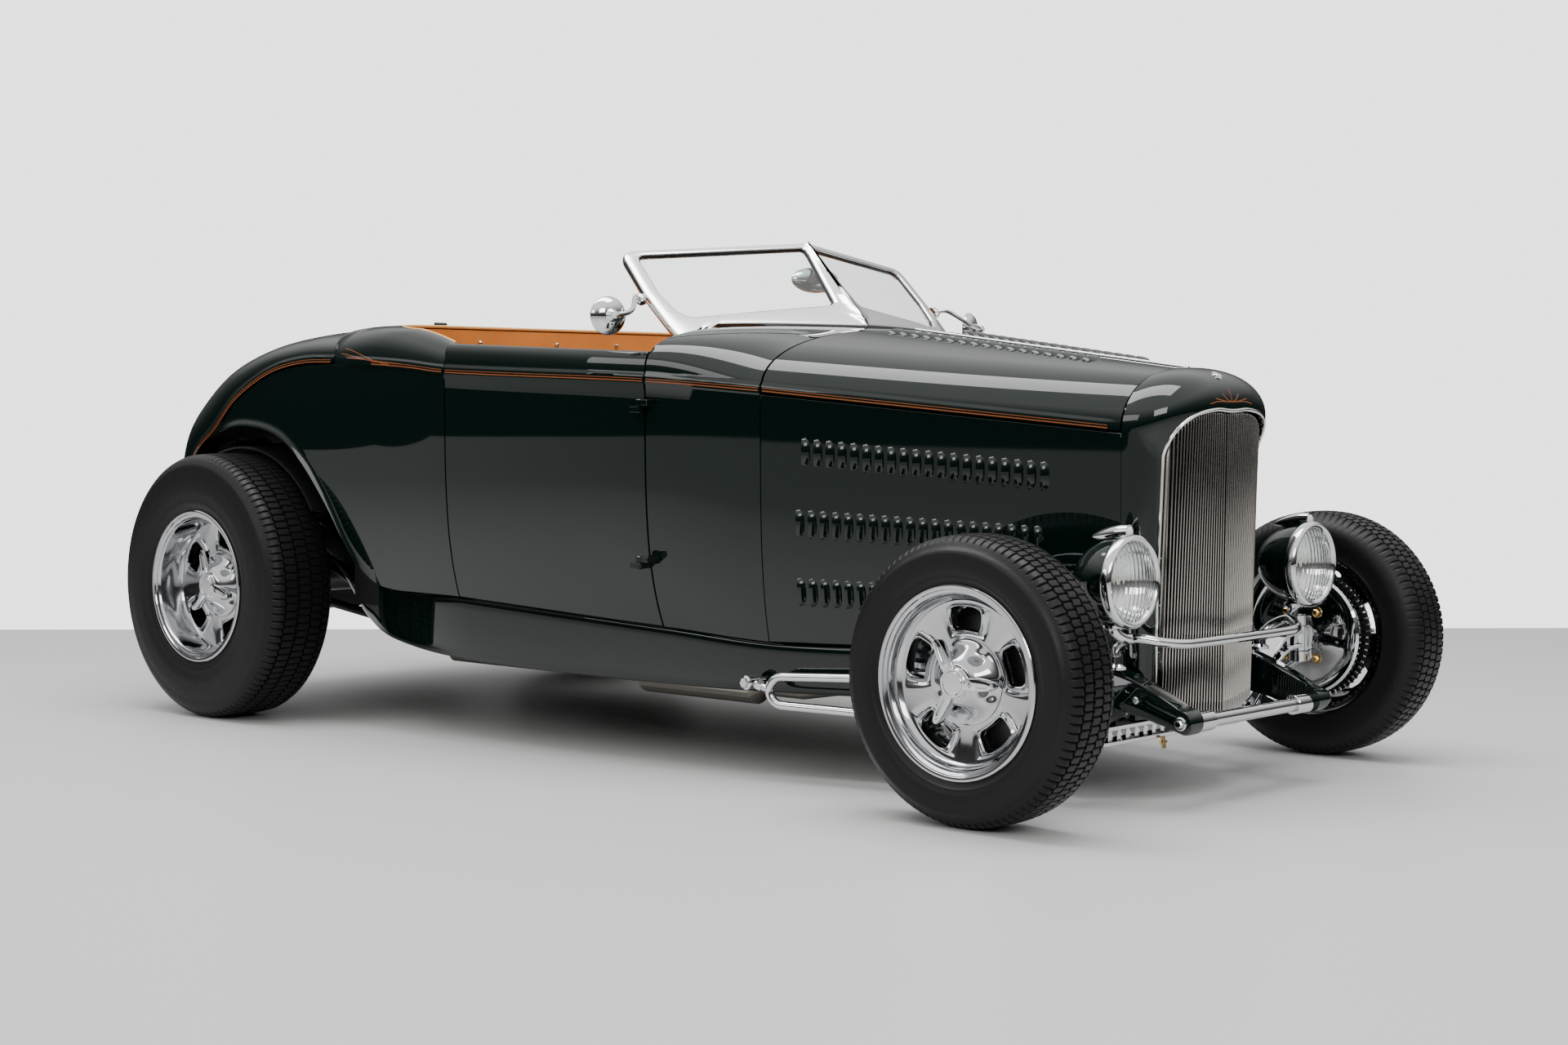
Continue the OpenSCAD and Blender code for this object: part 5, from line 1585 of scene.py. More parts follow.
@dataclass
class RunningGear:
    """Frame rails, axles, rods, brakes and what hangs under the car."""

    rail_w: float = 52.0
    kingpin_y: float = 595.0

    rail = staticmethod(knots(
        (TAIL_X, (500, 420, 345)), (RA - 370, (500, 420, 350)), (RA - 225, (505, 530, 440)),
                              (RA, (510, 590, 500)),
        (RA + 225, (522, 530, 430)), (RA + 400, (545, 440, 290)), (RA + 560, (580, 384, 240)),
                              (DOOR_REAR, (628, 379, 212)),
        (DOOR_FRONT, (578, 341, 200)), (HOOD_REAR, (525, 319, 200)), (FA - 346, (400, 319, 202)),
                              (FA - 60, (318, 319, 205)),
        (FA + 60, (302, 296, 205)), (FA + 160, (300, 258, 186)), (FA + 232, (300, 222, 166))))

    def axle_z(self, y: Array) -> Array:
        """Height of the axle's middle: a smooth step up from the drop to the ends."""
        return lerp(142.0, 300.0, ramp((np.abs(y) - 270) / 270))

    def rails(self) -> Shape:
        """Returns a rail: a section with a rounded outer face, carried along its knots.

        Returns:
            The closed surfaces, in mm.
        """
        x = np.linspace(FA + 232, TAIL_X, 220)
        o, top, low = self.rail(x).T
        h = top - low
        s = np.array([(1, 1), (1, 0), (0.5, 0), (0.3, 0.015), (0.17, 0.05), (0.09, 0.11), (0.04, 0.2),
                      (0.015, 0.32), (0, 0.5),
                      (0, 0.8), (0, 0.93), (0.02, 0.975), (0.07, 1), (1, 1)])
        ring = np.stack([x[:, None] + 0 * s[None, :, 0], -o[:, None] + self.rail_w * s[None, :, 0],
                         low[:, None] + h[:, None] * s[None, :, 1]], -1)
        horn_z = (222 + 166) / 2
        end = []
        for a in np.linspace(0, 90, 9)[::-1]:
            r = ring[0].copy()
            r[:, 2] = horn_z + (r[:, 2] - horn_z) * math.cos(math.radians(a))
            r[:, 0] += 26 * (math.sin(math.radians(a)) * 0.999 + 0.001)
            end.append(r)
        ring = np.concatenate([np.array(end), ring])
        return Shape().add(capped(ring))

    def axle(self) -> Shape:
        """Returns the drilled axle: two flanges, the posts between the holes and the eyes.

        Returns:
            The closed surfaces, in mm.
        """
        y = np.linspace(-577, 577, 160)
        z = self.axle_z(y)
        out = Shape()
        for lo, hi in ((12, 22), (-22, -12)):
            ring = np.array([(-24, lo), (24, lo), (24, hi), (-24, hi), (-24, lo)])
            g = np.stack([FA + ring[None, :, 0] + 0 * y[:, None], y[:, None] + 0 * ring[None, :, 0],
                          z[:, None] + ring[None, :, 1]], -1)
            out.add(capped(g))
        for at in np.arange(-560, 561, 35.0):
            zc = float(self.axle_z(np.array(at)))
            out.add(block((FA - 13, at - 7, zc - 13), (FA + 13, at + 7, zc + 13)))
        for at in (-self.kingpin_y, self.kingpin_y):
            out.add(disc_stack((FA, at, 268), (0, 0, 1), [(22, 0), (25, 3), (25, 61), (22, 64)], 40))
        return out

    def hairpin(self) -> Shape:
        """Returns a hairpin: one rod from the axle round a loop and back, with its eye.

        Returns:
            The closed surfaces, in mm.
        """
        end_z = float(self.axle_z(np.array(400.0)))

        def at(up: float, s: float) -> list[float]:
            """Point on the upper (1) or lower (-1) rod, a share s of the way to the axle.

            Args:
                up: 1 for the upper rod, -1 for the lower one.
                s: share of the way to the axle.

            Returns:
                The point, in mm.
            """
            a = np.array([FA - 690, -562, 214 + up * 34])
            b = np.array([FA - 34, -400, end_z + up * 54])
            return list(a + (b - a) * s)
        bend = [np.array([FA - 690, -562, 214]) + np.array([-34 * math.cos(t), -8.4 * math.cos(t),
                                                            34 * math.sin(t)])
                for t in np.linspace(np.pi / 2, -np.pi / 2, 11)]
        path = [at(1, 1), at(1, 0.66), at(1, 0.33), *bend, at(-1, 0.33), at(-1, 0.66), at(-1, 1)]
        out = Shape().add(tube(path, 11.0, 18))
        rear = np.array([FA - 776.0, -578.0, 230.0])
        stub = np.array([FA - 722.0, -570.0, 216.0])
        out.add(tube([stub, rear], [10, 10], 18))
        out.add(tube([lerp(stub, rear, 0.35), lerp(stub, rear, 0.62)], 14.0, 6))
        out.add(disc_stack(rear, (0, 1, 0), [(12, -22), (17, -18), (17, 16), (9, 17), (9, 44)], 32))
        out.add(disc_stack(rear, (0, 1, 0), [(9, -29), (12, -27), (12, -21)], 6))
        for up in (-1, 1):
            p = np.array(at(up, 1.0))
            out.add(disc_stack(p, (1, 0.2, 0), [(15, -30), (15, 4), (11, 8)], 24))
        out.add(block((FA - 44, -413, end_z - 72), (FA - 25, -387, end_z + 72)))
        return out

    def backing(self) -> tuple[Shape, Shape]:
        """Returns the inner side of a brake: a stepped plate, and its brass bolts.

        Returns:
            The shapes in that order.
        """
        centre = (FA, -self.kingpin_y - 30, 307)
        plate = disc_stack(centre, (0, 1, 0), [(151, -2), (152, 3), (146, 7), (132, 4), (112, 6), (104, 11),
                                               (60, 13), (54, 16), (30, 17)], 120)
        bolts = Shape()
        for sx in (-1, 1):
            for sz in (-1, 1):
                c = (FA + sx * 42, -self.kingpin_y - 30, 307 + sz * 58)
                bolts.add(disc_stack(c, (0, 1, 0), [(13, 12), (13, 16), (10, 17)], 24))
                bolts.add(disc_stack(c, (0, 1, 0), [(8.5, 16), (8.5, 23), (6, 25)], 6))
        return Shape().add(plate), bolts

    def sill(self) -> Shape:
        """Returns the dark strip of painted shade that closes the slot between body and rail.

        Returns:
            The closed surfaces, in mm.
        """
        x, v = mesh_grid(np.linspace(DOOR_REAR - 120, HOOD_REAR - 6, 60), np.linspace(0, 1, 4))
        at = self.rail(x)
        face = np.stack([x, -(at[..., 0] - 26), at[..., 1] - 4 + 62 * v], -1)
        return Shape().add(*slab(face, face + [0, 4, 0]))

    def make(self) -> None:
        """Builds the running gear and dresses the nodes that stay."""
        # Black strip of painted shade in the slot between body and rail.
        self.sill().both().build("sill_slot_shade", BLACK)
        self.rails().both().build("rail_skins", PAINT, replaces=("frame_rails",), crease=40)
        self.axle().build("drilled_axle", CHROME, replaces=("front_axle",), bevel=1.2)
        self.hairpin().both().build("hairpin_rods", CHROME, replaces=("hairpins",))
        ends = Shape()
        ends.add(disc_stack((FA + 234, -302.0, 194), (0, -1, 0), [(15, -2), (15, 2), (12, 4)], 32))
        ends.add(disc_stack((FA + 234, -302.0, 194), (0, -1, 0), [(9.5, 3), (9.5, 9), (7, 11)], 6))
        ends.add(disc_stack((FA + 120, -302.0, 236), (0, -1, 0), [(8, -2), (8, 4), (5, 6)], 24))
        ends.both().build("horn_bolts", CHROME)
        bar = Shape().add(disc_stack((FA + 226, -247.5, 190), (0, 1, 0), [(16, 0), (16, 495)], 48))
        for y in (-262, 176):
            bar.add(disc_stack((FA + 226, y, 190), (0, 1, 0), [(21, 0), (23, 2), (23, 84), (21, 86)], 48))
        bar.add(disc_stack((TAIL_X + 22, -447, 385), (0, 1, 0), [(14, 0), (14, 894)], 48))
        bar.build("spreader_tubes", CHROME, replaces=("spreader_bars",))
        plate, bolts = self.backing()
        for side in Side:
            plate.on(side).build(f"backing_plate_{side.value}", CHROME, f"knuckle_{side.value}")
            bolts.on(side).build(f"backing_bolts_{side.value}", BRASS, f"knuckle_{side.value}")
        cock = Shape().add(tube([(FA + 30, -60, 124), (FA + 34, -60, 96)], 5.0,
                                12)).add(tube([(FA + 32, -72, 110), (FA + 32, -48, 110)], 3.5, 12))
        cock.build("drain_cock", BRASS)
        for node, finish in (("crossmembers", PAINT), ("front_spring", BLACK), ("radiator", BLACK),
                             ("engine", IRON),
                             ("transmission", CAST), ("exhaust", PIPE), ("firewall", PAINT),
                             ("floor_pan", BLACK),
                             ("rear_bulkhead", BLACK), ("wheel_tubs", BLACK), ("steering_column", CHROME),
                             ("pitman_arm", CHROME), ("drag_link", CHROME), ("tie_rod", CHROME),
                             ("knuckle_right", CHROME),
                             ("knuckle_left", CHROME), ("rear_axle", CAST), ("ladder_bars", BLACK),
                             ("coilovers", CHROME),
                             ("fuel_tank", BLACK), ("tail_lamps", RED), ("windshield_glass", SCREEN)):
            dress(node, finish)


# ------------------------------------------------------------------ front of the body
@dataclass
class Nose:
    """Grille shell, grille, its bright edge and the headlights.

    Attributes:
        bars: upright bars on each side of the middle.
        lamp: middle of the right headlight's glass.
        lamp_r: radius over its ring; not used.
    """

    bars: int = 22
    lamp: tuple[float, float, float] = (FA + 156, -380.0, 502.0)
    lamp_r: float = 103.0

    def rear_edge(self, v: Array) -> Array:
        """Rear edge of the shell, which follows the hood.

        Args:
            v: shares of the way from the foot to the middle of the crown.

        Returns:
            Points of shape (..., 3), in mm.
        """
        z = lerp(178.0, float(LINES.belt_z(np.array(HOOD_FRONT))), v / NOSE_BELT)
        x0 = HOOD_FRONT + SEAM + 0.4
        low = np.stack([x0 + 0 * v, -LINES.side_w(x0 - 3 + 0 * v, z), z], -1)
        phi = 90 * np.clip((v - NOSE_BELT) / NOSE_CROWN, 0, 1)
        c = LINES.crown(HOOD_FRONT + 0 * v, phi)
        w = -LINES.belt_w(HOOD_FRONT + 0 * v) * arc_out(phi, 2.4)
        high = np.stack([x0 + 13 * arc_up(phi, 2.0), w, c[..., 2]], -1)
        return np.where((v < NOSE_BELT)[..., None], low, high)

    def front_edge(self, v: Array) -> Array:
        """Edge of the shell round the grille opening.

        Args:
            v: shares of the way from the foot to the middle of the crown.

        Returns:
            Points of shape (..., 3), in mm.
        """
        z = lerp(186.0, 770.0, v / NOSE_BELT)
        low = np.stack([FA + lerp(86.0, 112.0, v / NOSE_BELT), -lerp(180.0, 197.0, np.minimum(v * 4, 1)), z],
                       -1)
        a = 90 * np.clip((v - NOSE_BELT) / NOSE_CROWN, 0, 1)
        dip = 4.0 * np.exp(-((a - 90) / 6.0) ** 2)
        high = np.stack([FA + 112 + 58 * arc_up(a, 2.4), -197 * arc_out(a, 3.0),
                         770 + 104 * arc_up(a, 3.0) - dip], -1)
        return np.where((v < NOSE_BELT)[..., None], low, high)

    def skin(self, u: Array, v: Array) -> Array:
        """Shell surface: a superellipse blend from the rear edge to the front one.

        Args:
            u: shares of the way from the rear edge to the opening.
            v: shares of the way from the foot to the middle of the crown.

        Returns:
            Points of shape (..., 3), in mm.
        """
        a, b = self.rear_edge(v), self.front_edge(v)
        f, g = arc_up(90 * u, 2.2), 1 - arc_out(90 * u, 2.2)
        return a + (b - a) * np.stack([f, g, g], -1)

    def shell(self) -> Shape:
        """Returns the grille shell with an edge that turns in round the opening.

        Returns:
            The closed surfaces, in mm.
        """
        v = np.concatenate([np.linspace(0, 0.55, 22), np.linspace(0.56, 1, 56)])
        uu, vv = mesh_grid(np.concatenate([np.linspace(0, 0.2, 6), np.linspace(0.25, 1, 24)]), v)
        p = self.skin(uu, vv)
        inner = p - 10 * grid_normals(p)
        return Shape().add(*slab(over(p), over(inner)))

    def bead(self) -> Shape:
        """Returns the bright edge round the grille opening.

        Returns:
            The closed surfaces, in mm.
        """
        v = np.concatenate([np.linspace(0, 0.55, 20), np.linspace(0.56, 1, 50)])
        p = self.front_edge(v) + [1.5, 3.0, -2.0]
        p[-1, 1] = 0
        both = np.concatenate([p, p[-2::-1] * [1, -1, 1]])
        foot = both[0]
        low = [foot + [0, 6, -12], foot + [12, 30, -20]]
        mid = [np.array([FA + 138, -20.0, 160.0]), np.array([FA + 138, 20.0, 160.0])]
        path = np.concatenate([[mid[0], low[1], low[0]], both,
                               [low[0] * [1, -1, 1], low[1] * [1, -1, 1], mid[1]]])
        return Shape().add(tube(path, 4.2, 10))

    def grille(self) -> Shape:
        """Returns the upright bars, each a slim wedge from foot to crown.

        Returns:
            The closed surfaces, in mm.
        """
        out = Shape()
        y = 5.5 + np.arange(self.bars) * (188.0 / self.bars)
        x = FA + 150 - 42 * y / 190
        top = 768 + 100 * np.maximum(1 - (y / 194) ** 3, 0) ** (1 / 3) - 4 * np.exp(-(y / 16) ** 2)
        edge = self.front_edge(np.linspace(0.55, 1, 200))
        lean = np.interp(y, -edge[::-1, 1], edge[::-1, 0]) - 13 - x
        sec = np.array([(-12, -1.5), (-1.0, -1.5), (0.5, -0.7), (0.8, 0), (0.5, 0.7), (-1.0, 1.5), (-12, 1.5),
                        (-12, -1.5)])
        for yi, xi, ti, li in zip(y, x, top, lean):
            foot = 172 + 22 * (yi / 184) ** 4
            z = np.array([foot, foot + 10, ti - 8, ti])
            back = np.array([-8, 0, 0, -3.0]) + li * (z - foot) / (ti - foot)
            ring = np.stack([xi + back[:, None] + sec[None, :, 0], -yi + 0 * back[:, None] + sec[None, :, 1],
                             z[:, None] + 0 * sec[None, :, 0]], -1)
            out.add(capped(ring))
        for z in (225, 330, 435, 540, 645, 750):
            out.add(tube([(FA + 137, -1, z), (FA + 95, -190, z)], 2.0, 8))
        return out

    def screen(self) -> Shape:
        """Returns the dark sheet of painted shade behind the bars.

        Returns:
            The closed surfaces, in mm.
        """
        y, v = mesh_grid(np.linspace(0, 191, 40), np.linspace(0, 1, 3))
        top = 766 + 92 * np.maximum(1 - (y / 192) ** 3, 0) ** (1 / 3)
        face = np.stack([FA + 132 - 42 * y / 190, -y, lerp(176.0, top, v)], -1)
        return Shape().add(*slab(face, face - [3, 0, 0]))

    def bowl(self, prof: Sequence, steps: int = 120) -> Array:
        """Solid turned about the headlight's line, from (radius, distance ahead)."""
        return revolved(prof, self.lamp, (1, 0, 0), steps)

    def lamps(self) -> dict[str, tuple[Shape, Finish]]:
        """Returns the pieces of the right headlight and its turn signal.

        Returns:
            Shape and finish by the word for the piece.
        """
        t = np.linspace(0, 90, 16)
        body = [(float(96 * math.sin(math.radians(a)) ** 0.8),
                 float(-12 - 118 * math.cos(math.radians(a)) ** 1.1)) for a in t]
        shell = body + [(97, -6), (90, -6), (88, -14)] + [(0.93 * r - 2, z * 0.9 - 4) for r,
                                                          z in body[::-1][1:]]
        ring = [(84, -2), (86, 7), (89.5, 12), (94, 13.5), (99, 11), (102.5, 4), (103, -4), (101, -11),
                (97, -14), (92, -13), (90, -6)]
        glass = [(0, 21), (22, 20.2), (44, 17.6), (64, 12.6), (78, 7), (86, 2), (86, -1), (78, 3.4), (64, 9),
                 (44, 14), (22, 16.7), (0, 17.5)]
        bowl = [(85, -1), (80, -14), (66, -34), (44, -50), (20, -58), (0, -60), (0, -62), (22, -60),
                (46, -52.5), (68, -36), (82.5, -15), (87, -2)]
        x, y, z = self.lamp
        signal = []
        for s in np.linspace(0, 1, 18):
            r = 19.0 * (math.sin(math.pi * min(s * 0.62 + 0.0, 1.0)) ** 0.75 if s < 0.8
                        else (math.sin(math.pi * 0.496) ** 0.75) * (1 - 0.12 * (s - 0.8) / 0.2))
            signal.append((lerp(x - 104, x - 4, s), r * 0.86, r))
        px = np.array([p[0] for p in signal])
        ry, rz = np.array([p[1] for p in signal]), np.array([p[2] for p in signal])
        a = turn(32)
        zc = z + 92 + 14 * np.linspace(0, 1, 18) ** 0.8
        pod = np.stack([px[:, None] + 0 * a, y + ry[:, None] * np.cos(a),
                        zc[:, None] + rz[:, None] * np.sin(a)], -1)
        eye = revolved([(0, 5), (8, 4), (12.5, 0.5), (12.5, -2), (0, -2)], (x - 4, y, z + 106), (1, 0, 0), 40)
        bulb = revolved([(0, -30), (7, -32), (9, -38), (7, -50), (0, -52)], self.lamp, (1, 0, 0), 32)
        return {
            "shell": (Shape().add(self.bowl(shell)), PAINT),
            "ring": (Shape().add(self.bowl(ring)), CHROME),
            "glass": (Shape().add(self.bowl(glass)), LENS),
            "bowl": (Shape().add(self.bowl(bowl)), REFLECTOR),
            "bulb": (Shape().add(bulb), AMBER),
            "signal": (Shape().add(capped(pod)), CHROME),
            "signal_eye": (Shape().add(eye), AMBER),
        }

    def bar(self) -> Shape:
        """Returns the lamp bar, its arms down to the rails and the lamp stems.

        Returns:
            The closed surfaces, in mm.
        """
        line = smooth_path([(FA + 66, -300, 330), (FA + 84, -322, 356), (FA + 128, -322, 374),
                            (FA + 172, -285, 366), (FA + 196, -240, 360),
                            (FA + 200, -160, 358), (FA + 200, 160, 358), (FA + 196, 240, 360),
                            (FA + 172, 285, 366), (FA + 128, 322, 374),
                            (FA + 84, 322, 356), (FA + 66, 300, 330)], 8)
        out = Shape().add(tube(line, 11.0, 18))
        for s in (-1, 1):
            stem = smooth_path([(FA + 120, 322 * s, 372), (FA + 118, 352 * s, 376), (FA + 112, 376 * s, 392),
                                (FA + 110, 380 * s, 412)], 6)
            out.add(tube(stem, [12] * len(stem), 16))
            out.add(disc_stack((FA + 110, 380 * s, 396), (0, 0, 1), [(20, 0), (24, 4), (24, 10), (16, 16)],
                               32))
            out.add(disc_stack((FA + 66, 300 * s, 300), (0, 0, 1), [(22, 0), (22, 6), (15, 12), (13, 34)],
                               32))
        return out

    def make(self) -> None:
        """Builds the nose pieces."""
        self.shell().build("shell_panel", PAINT, replaces=("grille_shell",), crease=50)
        self.bead().build("grille_bead", STEEL)
        self.grille().both().build("grille_bars", GRILLE, replaces=("grille_insert",), crease=25)
        for word, (shape, finish) in self.lamps().items():
            node = {"shell": ("headlight_shells",), "glass": ("headlight_lenses",)}.get(word, ())
            shape.both().build(f"headlight_{word}_pair" if word != "ring" else "headlight_rings", finish,
                               replaces=node, crease=40)
        # Dark sheet of painted shade behind the grille bars.
        self.screen().both().build("grille_shade_sheet", PAINTED_SHADE)
        self.bar().build("lamp_bar_tube", CHROME, replaces=("headlight_bar",))
        p = self.skin(np.array([0.42]), np.array([1.0]))[0]
        Shape().add(revolved([(0, 6), (9, 5.4), (13, 3), (14, -1), (14, -4), (0, -4)], p, (0.45, 0, 0.9),
                             40)).build("nose_button", CHROME)
        self.flourish().build("nose_flourish", STRIPE)

    def flourish(self) -> Shape:
        """Returns the small spread of copper lines above the grille.

        Returns:
            The closed surfaces, in mm.
        """
        out = Shape()
        s = np.linspace(0, 1, 16)
        for reach, rise, curl in ((0.0, 0.20, 0.0), (0.022, 0.11, 0.6), (0.055, 0.04, 1.6),
                                  (0.085, -0.03, 2.2)):
            for sign in ((1,) if reach == 0 else (1, -1)):
                u = 0.90 - rise * s ** (1 + 0.4 * curl)
                v = 1 - reach * s
                p = self.skin(u, v)
                q = self.skin(u + 0.01, v)
                r = self.skin(u, v - 0.01)
                n = unit(np.cross(q - p, r - p))
                n = np.where(n[:, 0:1] < 0, -n, n)
                p, n = p * [1, sign, 1], n * [1, sign, 1]
                across = unit(np.cross(n, np.gradient(p, axis=0)))
                out.add(*ribbon(p, n, across, 2.0, 0.5))
        return out


# ------------------------------------------------------------------ windshield
@dataclass
class Windshield:
    """Vee windshield: two framed panes, posts, skirt and the mirrors.

    Attributes:
        top: top of the middle post.
        down: unit direction down the right pane.
        out: unit direction across it.
        thick: frame thickness.
        pane_mid: middle of the pane, as distances down and across.
        pane: the pane's outline, as distances down and across.
    """

    top: Array = field(default_factory=lambda: np.array([FA - 1127, 0.0, 1301.0]))
    down: Array = field(default_factory=lambda: np.array([0.6894, 0.0, -0.7244]))
    out: Array = field(default_factory=lambda: np.array([-0.1653, -0.9736, -0.1573]))
    thick: float = 22.0
    pane_mid: tuple[float, float] = (100.0, 268.0)
    pane: tuple = ((18, 24), (-36, 500), (-32, 512), (-20, 518), (85, 526), (150, 514), (176, 494),
                   (184, 472), (220, 62), (212, 44), (42, 16), (26, 16))

    def at(self, a: Array, b: Array, c: Array) -> Array:
        """Point a down the pane, b across it and c off its face."""
        face = np.cross(self.down, self.out)
        return self.top + a[..., None] * self.down + b[..., None] * self.out + c[..., None] * face

    def skirt(self, b: Array) -> Array:
        """Distance down at which the frame's inner edge meets the cowl, by halving.

        Args:
            b: distances across the pane.

        Returns:
            Distances in mm, one for each place.
        """
        lo, hi = np.full_like(b, 180.0), np.full_like(b, 330.0)
        for _ in range(16):
            mid = (lo + hi) / 2
            p = self.at(mid, b, np.full_like(b, self.thick / 2))
            above = p[..., 2] - LINES.crown_at(p[..., 0], p[..., 1]) > 0.8
            lo, hi = np.where(above, mid, lo), np.where(above, hi, mid)
        return lo

    def radial(self, points: Array, angles: Array, centre: Array) -> Array:
        """Distance from centre to an outline at each angle.

        Args:
            points: corners of the outline.
            angles: angles in radians.
            centre: point that the distances start from.

        Returns:
            Distances in mm, one for each place.
        """
        ring = np.concatenate([points, points[:1]])
        t = np.linspace(0, 1, 60, endpoint=False)[:, None]
        dense = np.concatenate([lerp(ring[i], ring[i + 1], t) for i in range(len(points))]) - centre
        ang = np.arctan2(dense[:, 1], dense[:, 0])
        order = np.argsort(ang)
        rad = np.hypot(dense[:, 0], dense[:, 1])
        return np.interp(angles, ang[order], rad[order], period=2 * np.pi)

    def frame_half(self) -> Shape:
        """Returns the right half of the frame.

        A rounded section is carried round the pane; its inner edge follows the pane's
        outline and its outer edge the frame's, both by angle about the pane's middle.

        Returns:
            The closed surfaces, in mm.
        """
        b = np.linspace(470, 0, 60)
        low = np.stack([self.skirt(b) + 14, b], 1)
        outer = np.concatenate([np.array([(4, -40), (1, 20), (-56, 522), (-50, 548), (-30, 556), (85, 566),
                                          (200, 560), (250, 552), (284, 540), (296, 528)], float), low,
                                [[float(self.skirt(np.array([0.0]))[0]) + 14, -40.0]]])
        inner = np.array(self.pane, float)
        centre = np.array(self.pane_mid)
        angles = np.linspace(-np.pi, np.pi, 241)
        angles[-1] = -np.pi
        corner = [np.arctan2(*(q - centre)[::-1]) for q in np.concatenate([inner, outer[[0, 2, 4, 8]]])]
        angles = np.unique(np.round(np.concatenate([angles, corner]), 6))
        angles = angles[angles > -3.14159]
        angles = np.append(angles, angles[0])
        r0, r1 = self.radial(inner, angles, centre), self.radial(outer, angles, centre)
        c = turn(24)
        ex = np.sign(np.cos(c)) * np.abs(np.cos(c)) ** 0.35
        ez = np.sign(np.sin(c)) * np.abs(np.sin(c)) ** 0.35
        r = lerp(r0[:, None], r1[:, None], (ex[None] + 1) / 2)
        a = centre[0] + r * np.cos(angles)[:, None]
        bb = centre[1] + r * np.sin(angles)[:, None]
        p = self.at(a, bb, self.thick / 2 * ez[None] + 0 * a)
        p[..., 1] = np.minimum(p[..., 1], 0.0)
        return Shape().add(p)

    def gasket(self) -> Shape:
        """Returns the dark seal between the glass and the frame.

        Returns:
            The closed surfaces, in mm.
        """
        centre = np.array(self.pane_mid)
        angles = np.linspace(-np.pi, np.pi, 241)
        angles[-1] = -np.pi
        r = self.radial(np.array(self.pane, float), angles, centre)
        c = turn(8)
        rr = r[:, None] + 0.5 - 2.2 * (1 - np.cos(c))[None]
        p = self.at(centre[0] + rr * np.cos(angles)[:, None], centre[1] + rr * np.sin(angles)[:, None],
                    6.5 * np.sin(c)[None] + 0 * rr)
        return Shape().add(p)

    def mirror(self) -> tuple[Shape, Shape]:
        """Returns a side mirror's chrome shell with its arm, and its glass.

        Returns:
            The shapes in that order.
        """
        mid = np.array([FA - 1121, -704.0, 1097.0])
        ahead = np.array([math.cos(math.radians(16)), -math.sin(math.radians(16)), 0.0])
        shell = revolved([(0, 15), (14, 14), (28, 10.5), (39, 5), (45, -2), (47, -6), (47, -9), (44.5, -9),
                          (44, -6.5), (0, -6.5)], mid, ahead, 72)
        glass = revolved([(0, -6.6), (43.6, -6.6), (43.6, -8), (0, -8)], mid, ahead, 72)
        post = np.array([FA - 1153, -566.0, 1141.0])
        out = Shape().add(shell)
        out.add(disc_stack(mid + 8 * ahead, ahead, [(15, 0), (17, 4), (13, 12), (9, 16)], 32))
        out.add(revolved([(0, -11), (8, -8), (11, 0), (8, 8), (0, 11)], mid + 30 * ahead, (0, 0, 1), 28))
        arm = smooth_path([mid + 30 * ahead, mid + [30, 44, 12], post + [24, -44, 4], post + [6, -14, 2]], 8)
        out.add(tube(arm, np.linspace(6.5, 5.5, len(arm)), 14))
        out.add(revolved([(0, -15), (9, -13), (13, -5), (13, 5), (9, 13), (0, 15)], post + [4, -8, 0],
                         (0.69, 0, -0.72), 28))
        out.add(disc_stack(post + [0, -4, 0], (0, -1, 0), [(14, -10), (14, 2), (10, 6)], 28))
        return out, Shape().add(glass)

    def make(self) -> None:
        """Builds the windshield pieces."""
        self.frame_half().both().build("shield_frame", SHIELD, replaces=("windshield_frame",), crease=50)
        self.gasket().both().build("shield_seal", BLACK)
        cx, cy = loop(5.0, 96)
        x, y = FA - 851 + 52 * cx, 128 * cy
        lid = np.stack([x, y, LINES.crown_at(x, y) + 0.2], -1)
        # The vent lid's gap drawn as a thin tube of painted shade on the cowl.
        Shape().add(tube(lid[:-1], 1.6, 6, closed=True)).build("vent_lid_seam", PAINTED_SHADE)
        shell, glass = self.mirror()
        shell.both().build("side_mirrors", CHROME, replaces=("mirrors",), crease=40)
        glass.both().build("side_mirror_glass", REFLECTOR)
        centre = self.at(np.array(138.0), np.array(0.0), np.array(0.0)) + [-56, 0, 4]
        a = turn(48)
        rows = [(0, 18), (0.5, 16), (0.8, 11), (0.95, 4), (1.0, -1), (1.0, -5), (0.96, -6), (0, -6)]
        g = np.stack([np.stack([centre[0] + h + 0 * a, centre[1] + 88 * f * np.cos(a),
                                centre[2] + 33 * f * np.sin(a)], -1) for f, h in rows])
        inner = Shape().add(g)
        inner.add(tube([centre + [14, 0, 0], centre + [34, 0, 14], centre + [44, 0, 26]], 6.0, 14))
        inner.add(revolved([(0, -10), (8, -6), (10, 0), (8, 6), (0, 10)], centre + [18, 0, 2], (0, 0, 1), 24))
        inner.build("inside_mirror", CHROME, crease=40)


